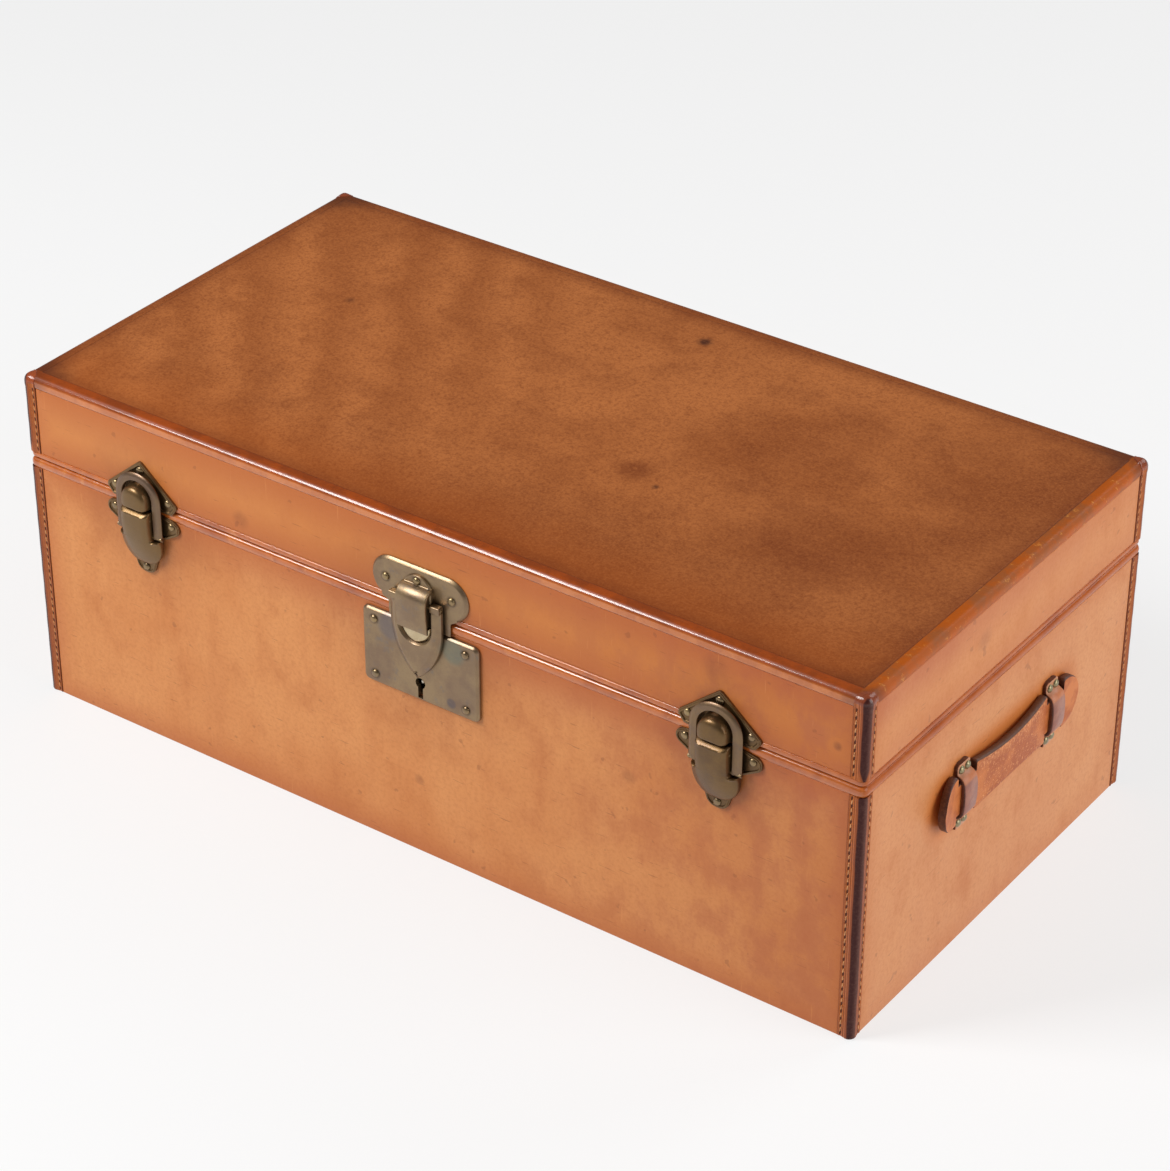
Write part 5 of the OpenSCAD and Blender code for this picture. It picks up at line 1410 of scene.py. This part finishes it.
def latch_base():
    """Plate with a stepped rim, and its two ears."""
    outline = rounded(mirrored([(6.2, -50.4, 7), (14.9, -22.7, 2.5), (37.5, -9.5, 5.2), (14.25, -4.1, 3)]), 9)
    shape = plate(outline, [(0, 0), (0, 1.1), (0.15, 1.4), (0.7, 1.5), (0.85, 2.0), (1.15, 2.1), (1.6, 2.05),
                            (2.0, 1.3), (2.3, 1.2)])
    ear = rounded([(0.2, -9.7, 0.2), (9, -9.7, 2.2), (9, -5.3, 2.2), (3.6, -5.3, 0.4), (2.2, -8.6, 0.3),
                   (0.2, -8.6, 0.2)], 6)
    for low, high in ((-8.6, -7.2), (7.2, 8.6)):
        steps = [(0.2, low), (0, low + 0.2), (0, high - 0.2), (0.2, high)]
        shape += plate(ear, steps).placed(sideways)
    return shape


def latch_catch():
    """Shield with a stepped rim, and the domed catch: rings of its outline shrink towards a middle point."""
    outline = hull([(0, 24.3, 3.2), (24.3, 3.8, 3.2), (-24.3, 3.8, 3.2), (22, 0.8, 3.2), (-22, 0.8, 3.2)])
    shape = plate(outline, [(0, 0), (0, 1.1), (0.2, 1.5), (0.8, 1.6), (1.0, 2.0), (1.3, 2.1), (2.0, 2.05),
                            (2.5, 1.3), (2.8, 1.2)])
    side = rounded([(-10.5, -1.4, 2.4), (10.5, -1.4, 2.4), (10.5, 14.2, 10.4), (-10.5, 14.2, 10.4)], 12)
    middle = np.array([0, 1.5])
    profile = ((1, 1.3), (0.99, 4.5), (0.96, 6.8), (0.94, 8.2), (0.91, 9.3), (0.85, 10.2), (0.76, 10.9),
               (0.62, 11.4), (0.45, 11.75), (0.25, 11.95), (0.05, 12))
    rings = np.stack([at_height(middle + (side - middle) * share, height) for share, height in profile])
    return shape + grid(rings, loop_columns=True, caps=True)


print("latch plates:", len(latch_base().faces), "and", len(latch_catch().faces), "faces")


# %% Press the lever
def latch_lever():
    """Lever as two grids, the shell's outside and inside. A row crosses it at one height: its half width
    comes from the neck or from the leaf's egg shape, and its section is a superellipse between the
    flanges."""
    neck, shoulder, top, tip, flange, wall = 11.0, -22.3, -2.15, -43.0, 2.4, 1.4
    z = np.concatenate([top - np.array([0.001, 0.3, 0.7, 1.2, 1.8, 2.4, 2.9]),
                        np.linspace(-5, shoulder + 0.8, 12), [shoulder + 0.25, shoulder],
                        shoulder - np.array([0.05, 0.3, 0.7, 1.2]), np.linspace(-24.2, tip + 3, 16),
                        tip + np.array([2.1, 1.3, 0.7, 0.3, 0.08, 0.01])])
    egg = 15.9 * (1 - np.abs(np.clip((z + 26) / 17.03, -1, 1)) ** 2.2) ** (1 / 2.2)
    half = np.where(z > shoulder - 0.01, neck, egg)
    half = half + 0.9 * np.clip(1 - (z - shoulder) / 0.9, 0, 1) ** 2 * (z > shoulder - 0.01)
    turn = np.linspace(math.pi, 0, 33)
    power = np.where(z > shoulder - 0.01, 6.5, 3.0)[:, None]
    s = np.sign(np.cos(turn)) * np.abs(np.cos(turn)) ** (2 / power)
    up = np.sin(turn) ** (2 / power)

    def skin(inner):
        """One side of the shell, so far inwards: its crest is 12 less a square along and one across, and a
        circle round the pin above; the shoulders, their rims and the bead are bell curves and powers."""
        x = (half - inner)[:, None] * s
        zz = z[:, None] + 0 * x
        crest = 12 - (zz + 8) ** 2 / 152 - x ** 2 / 100 - inner
        over_pin = 6.8 + np.sqrt(np.clip((5.5 - inner * 0.5) ** 2 - (zz + 7.5) ** 2, 0.01, None))
        crest = np.where(zz > -7.5, np.minimum(crest, over_pin), crest)
        lip = 0.35 * np.exp(-((zz + 4.6) / 0.7) ** 2)
        outside = np.clip((np.abs(x) - neck) / 6, 0, 1)
        fade = np.exp(-np.clip(shoulder - zz, 0, None) / 3.5)
        rim = 1.1 * np.exp(-((zz - shoulder + 0.75) / 0.5) ** 2) * (outside > 0)
        raised = 1.5 * outside ** 1.5 * fade + rim
        end = np.sqrt(np.clip(1 - (1 - np.clip((zz - tip) / 3.2, 0, 1)) ** 2, 0, 1))
        bead = 0.35 * np.exp(-((np.abs(x) - neck + 0.95) / 0.4) ** 2) * (zz > shoulder) * (zz < -5.2)
        w = flange + (crest + lip + raised + bead - flange) * up * end
        rise = 2.0 * outside ** 1.3 * fade * np.clip((w - 7) / 2, 0, 1)
        return np.stack([x, zz + rise, np.maximum(w, flange)], -1)

    return between(skin(0), skin(wall))


print(f"a lever stands {latch_lever().points[:, 2].max():.1f} mm out of the leather")


# %% Bend the bail
def latch_bail():
    """Flat arch whose front edge is rounded, with an eye at the foot of each leg."""
    inner, outer, low, foot = 11.4, 17.8, -19.5, -21.4
    angle = np.linspace(0, math.pi, 30)
    arch = np.stack([outer * np.cos(angle), 3.7 + outer * np.sin(angle)], -1)
    opening = np.stack([inner * np.cos(angle), 4.6 + inner * np.sin(angle)], -1)[::-1]
    outline = np.concatenate([[[outer, foot]], arch, [[-outer, foot], [-inner, foot]], opening,
                              [[inner, foot]]])
    share = np.where(np.hypot(outline[:, 0], np.maximum(outline[:, 1] - 3.7, 0)) > 15, 1.0, 0.3)
    steps = [(0.35, 4.0), (0, 4.35), (0, 4.9), (0.3, 5.3), (1.7, 6.0), (2.3, 6.2)]
    shape = plate(outline, steps, share=share)
    for low_x, high_x in ((-outer, -inner), (inner, outer)):
        shape += pin_along(low_x + 0.2, high_x - 0.2, 1.5, 0.4).moved(4.6, low, 0).placed(sideways)
    return shape


print(f"a bail is {np.ptp(latch_bail().points[:, 1]):.1f} mm long")


# %% Put both latches on
def add_latch(side, where):
    """Base, catch, lever and bail of one latch, and the pin in the bail's feet. Returns the lever's pin."""
    for name, shape, finish, body, node, crease in (
            ("pressed_base", latch_base(), LATCH_BRASS, "case", "latch_base", 34),
            ("domed_catch", latch_catch(), LATCH_BRASS, "lid", "latch_catch", 34),
            ("pressed_lever", latch_lever(), LATCH_BRASS, f"{side}_lever", "latch_lever", 40),
            ("arched_bail", latch_bail(), BAIL_BRASS, f"{side}_bail", "latch_bail", 36)):
        brassware(f"{side}_{name}", shape.placed(where), finish, body, f"{side}_{node}", crease)
    bail_pin = pin_along(-17.8, 17.8, 1.1).moved(5.1, -19.5, 0).placed(across(where))
    brassware(f"{side}_bail_pivot", bail_pin, NAIL_BRASS, f"{side}_lever", f"{side}_bail_pin")
    return pin_along(-11, 11, 1.1).moved(6.8, -7.5, 0).placed(across(where))


lever_pins = [add_latch(side, on_front(x)) for side, x in LATCH_SIDES]
brassware("lever_pivots", joined(lever_pins), NAIL_BRASS, "case", "latch_lever_pins")

# %% [markdown]
# The hinge at the back runs almost the whole length: two leaves of sheet brass, rolled round one pin in
# nine knuckles and nailed down like a piano hinge. One long tube would stand still while the lid opens, so
# every knuckle is a roll of its own that goes with its leaf.

# %% Make the hinge
HINGE_HALF, KNUCKLES, KNUCKLE_GAP, HINGE_NAILS = 295.0, 9, 0.2, 9


def on_back(p):
    """Local (along, up from the seam, out of the leather) to the frame, on the back."""
    return np.stack([-p[:, 0], FACE_Y + p[:, 2], SEAM + p[:, 1]], -1)


def hinge_leaf(first):
    """The lid's leaf, drawn upwards: a flat strip, and every other knuckle from the first one."""
    pitch = 2 * HINGE_HALF / KNUCKLES
    flat = plate(rounded(mirrored([(HINGE_HALF, 0.8, 0.4), (HINGE_HALF, 17, 1.5)]), 4),
                 [(0.1, 0), (0, 0.1), (0, 0.8), (0.15, 1.1), (0.4, 1.2)])
    starts = [k * pitch - HINGE_HALF for k in range(first, KNUCKLES, 2)]
    rolls = [pin_along(low + KNUCKLE_GAP, low + pitch - KNUCKLE_GAP, 2.8, 0.4, 28) for low in starts]
    return joined([flat] + [roll.moved(3.1, 0, 0).placed(sideways) for roll in rolls])


def add_hinge():
    """Both leaves and their nails; the case's leaf is drawn the other way up."""
    places = [(x, 11.5) for x in np.linspace(15 - HINGE_HALF, HINGE_HALF - 15, HINGE_NAILS)]
    for body, sign, first in (("case", -1, 0), ("lid", 1, 1)):
        def where(p):
            return on_back(p * (1, sign, 1))
        brassware(f"{body}_hinge_leaf_rolled", hinge_leaf(first).placed(where), LATCH_BRASS, body,
                  f"hinge_{body}_leaf", 36)
        brassware(f"{body}_hinge_nail_heads", nails(places, 1.2, where), NAIL_BRASS, body,
                  f"hinge_{body}_nails")


add_hinge()

# %% [markdown]
# The handles. A strap of two thicknesses of harness leather slides in two keepers, so that it can be drawn
# out into a grip. Its faces are tan, its cut edges are waxed almost black, and the grip has been darkened
# and roughened by hands. The keepers are bent over the strap and riveted through their feet. A thickened
# curve could carry them, but their width changes along the way, so each row of the grid has its own.

# %% Make the handle finishes
STRAP_MAIN, STRAP_DARK, STRAP_LIGHT = srgb(204, 120, 64), srgb(176, 92, 46), srgb(228, 160, 106)
GRIP, EDGE_WAX, EDGE_LAYERS, FRAYED = srgb(166, 84, 44), srgb(76, 38, 28), srgb(122, 74, 50), srgb(98, 62, 42)
KEEPER, KEEPER_LIGHT, KEEPER_FOOT = srgb(140, 86, 72), srgb(160, 104, 84), srgb(198, 136, 98)


def strap_leather():
    """Strap face: orange tan at the ends, red brown and scuffed in the grip."""
    f = Finish("strap_leather_finish")
    cloud = f.noise(15, 4, 0.6, offset=6)
    speck = f.noise(1.7, 4, 0.75, offset=27)
    colour = f.mix(cloud.rise(0.4, 0.65), STRAP_MAIN, STRAP_DARK)
    grip = abs(f.y).rise(46, 26)
    colour = f.mix(grip * (cloud.rise(0.2, 0.6) * 0.8), colour, GRIP)
    colour = f.mix(grip * speck.rise(0.54, 0.66) * 0.8, colour, STRAP_LIGHT)
    upper = (f.z - HANDLE_Z).rise(6, 14) * grip
    colour = f.mix(upper * speck.rise(0.4, 0.6) * 0.7, colour, STRAP_LIGHT)
    height = speck * (grip * 1.2 + 0.5) + f.cells(1.2).rise(0, 0.4) * 0.3 + cloud
    return f.close(colour, speck * 0.2 + 0.38, height, 0.2, Specular_IOR_Level=0.25)


def dark_edge():
    """Waxed cut edge: dark, paler where the wax has worn off, frayed along the grip."""
    f = Finish("strap_edge_finish")
    speck = f.noise(1.6, 4, 0.7, offset=14)
    colour = f.mix(speck.rise(0.4, 0.7) * 0.6, EDGE_WAX, EDGE_LAYERS)
    colour = f.mix(abs(f.y).rise(44, 34) * (speck.rise(0.3, 0.6) * 0.5 + 0.4), colour, FRAYED)
    return f.close(colour, speck * 0.2 + 0.34, speck + f.noise(5, 3) * 2, 0.15)


def keeper_leather():
    """Keeper: purplish brown where it stands proud, tan at its feet, orange in its folds."""
    f = Finish("keeper_leather_finish")
    cloud = f.noise(9, 4, 0.6, offset=16)
    speck = f.noise(1.5, 4, 0.75, offset=36)
    foot = abs(f.z - HANDLE_Z).rise(13.2, 15.4)
    colour = f.mix(cloud.rise(0.4, 0.65), KEEPER, KEEPER_LIGHT)
    fold = abs(abs(f.z - HANDLE_Z) - 12.5).rise(3.0, 1.0)
    colour = f.mix(fold * 0.7, colour, STRAP_MAIN)
    colour = f.mix(foot, colour, KEEPER_FOOT)
    colour = f.mix(speck.rise(0.45, 0.7) * 0.3, colour, STRAP_DARK)
    return f.close(colour, speck * 0.2 + 0.32, speck * 0.8 + cloud, 0.18,
                   Coat_Weight=0.15, Coat_Roughness=0.25)


STRAP = strap_leather()
KEEPING = keeper_leather()
DARK_EDGE = dark_edge()
print("made", STRAP.name, KEEPING.name, DARK_EDGE.name)


# %% Cut the strap
def strap_shape():
    """Strap drawn as (along, up, out). A row crosses it at one place along: its half width is a waist in the
    grip, a narrow neck under each keeper and a round end; the row is a flat oval with rounded corners."""
    width, neck, grip, end, radius, thick, back = 17.0, 11.0, 40.25, 60.75, 17.0, 5.0, 0.6
    centre = 79.5 - radius
    half_rows = np.concatenate([np.linspace(0, grip - 1.2, 22), grip - np.array([0.8, 0.35, 0.1, 0.0]),
                                [grip + 0.05, grip + 0.5], np.linspace(grip + 2, end - 0.6, 8),
                                [end - 0.05, end], end + np.array([0.1, 0.5, 1.2]),
                                centre + radius * np.sin(np.linspace(0.1, math.pi / 2 - 0.03, 18))])
    y = np.concatenate([-half_rows[:0:-1], half_rows])
    away = np.abs(y)
    waist = width - 3.4 * (1 - (away / grip) ** 2)
    waist = waist - 1.0 * np.clip((away - grip + 0.9) / 0.9, 0, 1) ** 2
    tab = np.sqrt(np.clip(radius ** 2 - (away - centre) ** 2, 0.2, None))
    tab = tab - 0.9 * np.clip(1 - (away - end) / 0.9, 0, 1) ** 2
    half = np.where(away <= grip, waist, np.where(away < end, neck, tab))
    lift = 2.0 * np.clip(1 - (away / grip) ** 2, 0, 1)
    lift = lift + 3.6 * np.clip((away - end) / 18, 0, 1) ** 1.6 * (y < 0)
    wide, edge = 15, 0.7
    top = np.stack([np.linspace(-1, 1, wide), np.full(wide, thick)], -1)
    side = np.array([[1, thick - edge], [1, thick / 2], [1, edge]])
    section = np.concatenate([top, side, top[::-1] * (1, 0), side[::-1] * (-1, 1)])
    inner = np.tile(np.concatenate([np.full(wide, edge), np.zeros(len(side))]), 2)
    z = section[:, 0][None, :] * (half[:, None] - inner[None, :] * (half[:, None] > 2))
    rows = np.stack([y[:, None] + 0 * z, z, back + section[:, 1][None, :] + lift[:, None] + 0 * z], -1)
    shape = grid(rows, loop_columns=True, caps=True)
    is_edge = [0] * (wide - 1) + [1] * (len(side) + 1)
    shape.looks = is_edge * (2 * (len(y) - 1)) + [1, 1]
    return shape


print(f"a strap is {np.ptp(strap_shape().points[:, 0]):.1f} mm long")


# %% Bend a keeper
KEEPER_AT, FOOT_LONGER = 50.5, 2.2


def keeper_shape(at):
    """Keeper at a place along: a band bent over the strap, drawn along its own path of (up, out)."""
    lower = [(-21.5, 1.5), (-21.1, 1.5), (-20.2, 1.5), (-18, 1.5), (-15.6, 1.52), (-14.3, 2.2), (-13.5, 3.4),
             (-12.8, 4.8), (-11.8, 6.0), (-10.0, 6.8), (-8, 7.2), (-4, 7.6)]
    path = np.array(lower + [(0, 7.7)] + [(-up, out) for up, out in reversed(lower)])
    path[:3, 0] -= FOOT_LONGER
    path = np.column_stack([np.full(len(path), at), path])
    thick, edge = 1.5, 0.45
    half = 6.75 - 2.2 * np.clip(1 - (21.5 - np.abs(path[:, 1])) / 1.6, 0, 1) ** 2
    half[:2] = (4.6, 5.6)
    out = np.stack([np.zeros(len(path)), -np.gradient(path[:, 2]), np.gradient(path[:, 1])], -1)
    level = 1 - edge / thick
    corners = [(-1, 0, level), (-1, 0, -level), (-1, edge, -1), (0, 0, -1), (1, -edge, -1), (1, 0, -level),
               (1, 0, level), (1, -edge, 1), (0, 0, 1), (-1, edge, 1)]
    section = np.stack([at_height(side * half + shift, -share * thick) for side, shift, share in corners], 1)
    shape = swept(path, out, section)
    is_edge = [1, 0, 0, 0, 0, 1, 0, 0, 0, 0]
    shape.looks = is_edge * (len(path) - 1) + [1, 1]
    return shape


print(f"a keeper stands {keeper_shape(KEEPER_AT).points[:, 2].max():.1f} mm out of the leather")


# %% Put both handles on
RIVETS = [(sy * (KEEPER_AT + dy), dz) for sy in (-1, 1) for dy in (-3.35, 3.35) for dz in (-19.2, 17.5)]


def add_handle(side, where):
    """Strap and keepers of one end. Returns the heads of its rivets."""
    piece(f"{side}_sliding_strap", strap_shape().placed(where), [STRAP, DARK_EDGE], f"{side}_strap",
          [f"{side}_handle_strap"], crease=50)
    keepers = (keeper_shape(-KEEPER_AT) + keeper_shape(KEEPER_AT)).placed(where)
    piece(f"{side}_bent_keepers", keepers, [KEEPING, DARK_EDGE], "case",
          [f"{side}_handle_keepers"], crease=50)
    return nails(RIVETS, 2.95, where, 2.7, 1.8)


rivets = [add_handle(side, on_end(sign, HANDLE_Z)) for side, sign in (("left", -1), ("right", 1))]
piece("handle_rivet_heads", joined(rivets), [RIVET_BRASS], "case", ["handle_rivets"])

# %% [markdown]
# What is left lies inside or underneath, and is right as it was built, so it only gets its finish. The
# carcass is sawn pine whose grain runs along each board. It is lined with linen, a plain weave. Threads of
# its own would take far too many faces, so the finish draws them: on a surface that is square to one axis,
# waves along the other two axes cross and give the threads.

# %% Make the finishes of the inside
PINE_LIGHT, PINE_DARK, PINE_STAIN = srgb(206, 166, 112), srgb(158, 108, 62), srgb(146, 98, 58)
LINEN_MAIN, LINEN_DARK = srgb(206, 186, 150), srgb(168, 142, 104)
BOTTOM_MAIN, BOTTOM_DARK = srgb(130, 76, 42), srgb(84, 46, 28)
THREAD_PITCH = 1.1


def pine(name, grain_axis):
    """Sawn pine: growth lines are equal steps of a noise that is drawn out along the grain."""
    f = Finish(name)
    stretch = tuple(16 if k == grain_axis else 1 for k in range(3))
    rings = (f.noise(15, 2, 0.5, stretch, 5) * 11).wrapped(1.0)
    fibre = f.noise(1.0, 3, 0.6, stretch, 3)
    colour = f.mix(rings.rise(0.25, 0.95) * 0.6, PINE_LIGHT, PINE_DARK)
    colour = f.mix(fibre.rise(0.45, 0.7) * 0.4, colour, PINE_DARK)
    colour = f.mix(f.noise(60, 3, 0.6, offset=9).rise(0.5, 0.7) * 0.3, colour, PINE_STAIN)
    return f.close(colour, fibre * 0.2 + 0.5, fibre + rings * 0.5, 0.1)


def linen():
    """Linen cloth: crossing threads, slubs and faint foxing."""
    f = Finish("linen_finish")
    weave = f.x.wave(THREAD_PITCH) + f.y.wave(THREAD_PITCH) + f.z.wave(THREAD_PITCH)
    slub = (f.noise(1.6, 3, 0.7, (9, 1, 1)) + f.noise(1.6, 3, 0.7, (1, 9, 1), 5)
            + f.noise(1.6, 3, 0.7, (1, 1, 9), 8))
    colour = f.mix(slub.rise(1.35, 1.8) * 0.5, LINEN_MAIN, LINEN_DARK)
    colour = f.mix(f.noise(60, 3, 0.55, offset=12).rise(0.52, 0.74) * 0.3, colour, LINEN_DARK)
    colour = f.mix(weave.rise(1.0, 2.6) * 0.15, colour, LINEN_DARK)
    return f.close(colour, 0.82, weave * 0.5 + slub, 0.16)


def worn_bottom():
    """Underside: the same hide, darkened and scuffed."""
    f = Finish("bottom_leather_finish")
    patch = f.noise(34, 5, 0.65)
    colour = f.mix(patch.rise(0.4, 0.65), BOTTOM_MAIN, BOTTOM_DARK)
    colour = f.mix(scratches(f, 2.2, (20, 1, 1), 0.6) * 0.4, colour, TAN_DARK)
    colour = f.mix(scratches(f, 2.2, (1, 20, 1), 0.62, 5) * 0.4, colour, TAN_DARK)
    return f.close(colour, patch * 0.2 + 0.5, hide_height(f, 1.0), 0.2)


PINE_ALONG_X, PINE_ALONG_Y = pine("pine_grain_along_x", 0), pine("pine_grain_along_y", 1)
LINEN = linen()
BOTTOM = worn_bottom()
print("inside finishes made")


# %% Dress what stays
def dress(finish, *nodes):
    """Gives the packed model's own pieces a finish."""
    for node in nodes:
        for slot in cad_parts[node].material_slots:
            slot.material = finish
    print(finish.name, "on", len(nodes), "nodes")


dress(PINE_ALONG_X, "case_front_board", "case_back_board", "case_bottom_board", "lid_top_board",
      "lid_front_board", "lid_back_board", "inner_frame")
dress(PINE_ALONG_Y, "case_end_boards", "lid_end_boards")
dress(LINEN, "case_lining", "lid_lining")
dress(BOTTOM, "case_bottom_leather")
dress(LOCK_BRASS, "lock_housing")
dress(STEEL, "lock_bolt", "thumb_catch_spring")
dress(NAIL_BRASS, "hinge_pin")

# %% [markdown]
# Last, the scene is left as it stands.

# %% Finish
print("scene finished")
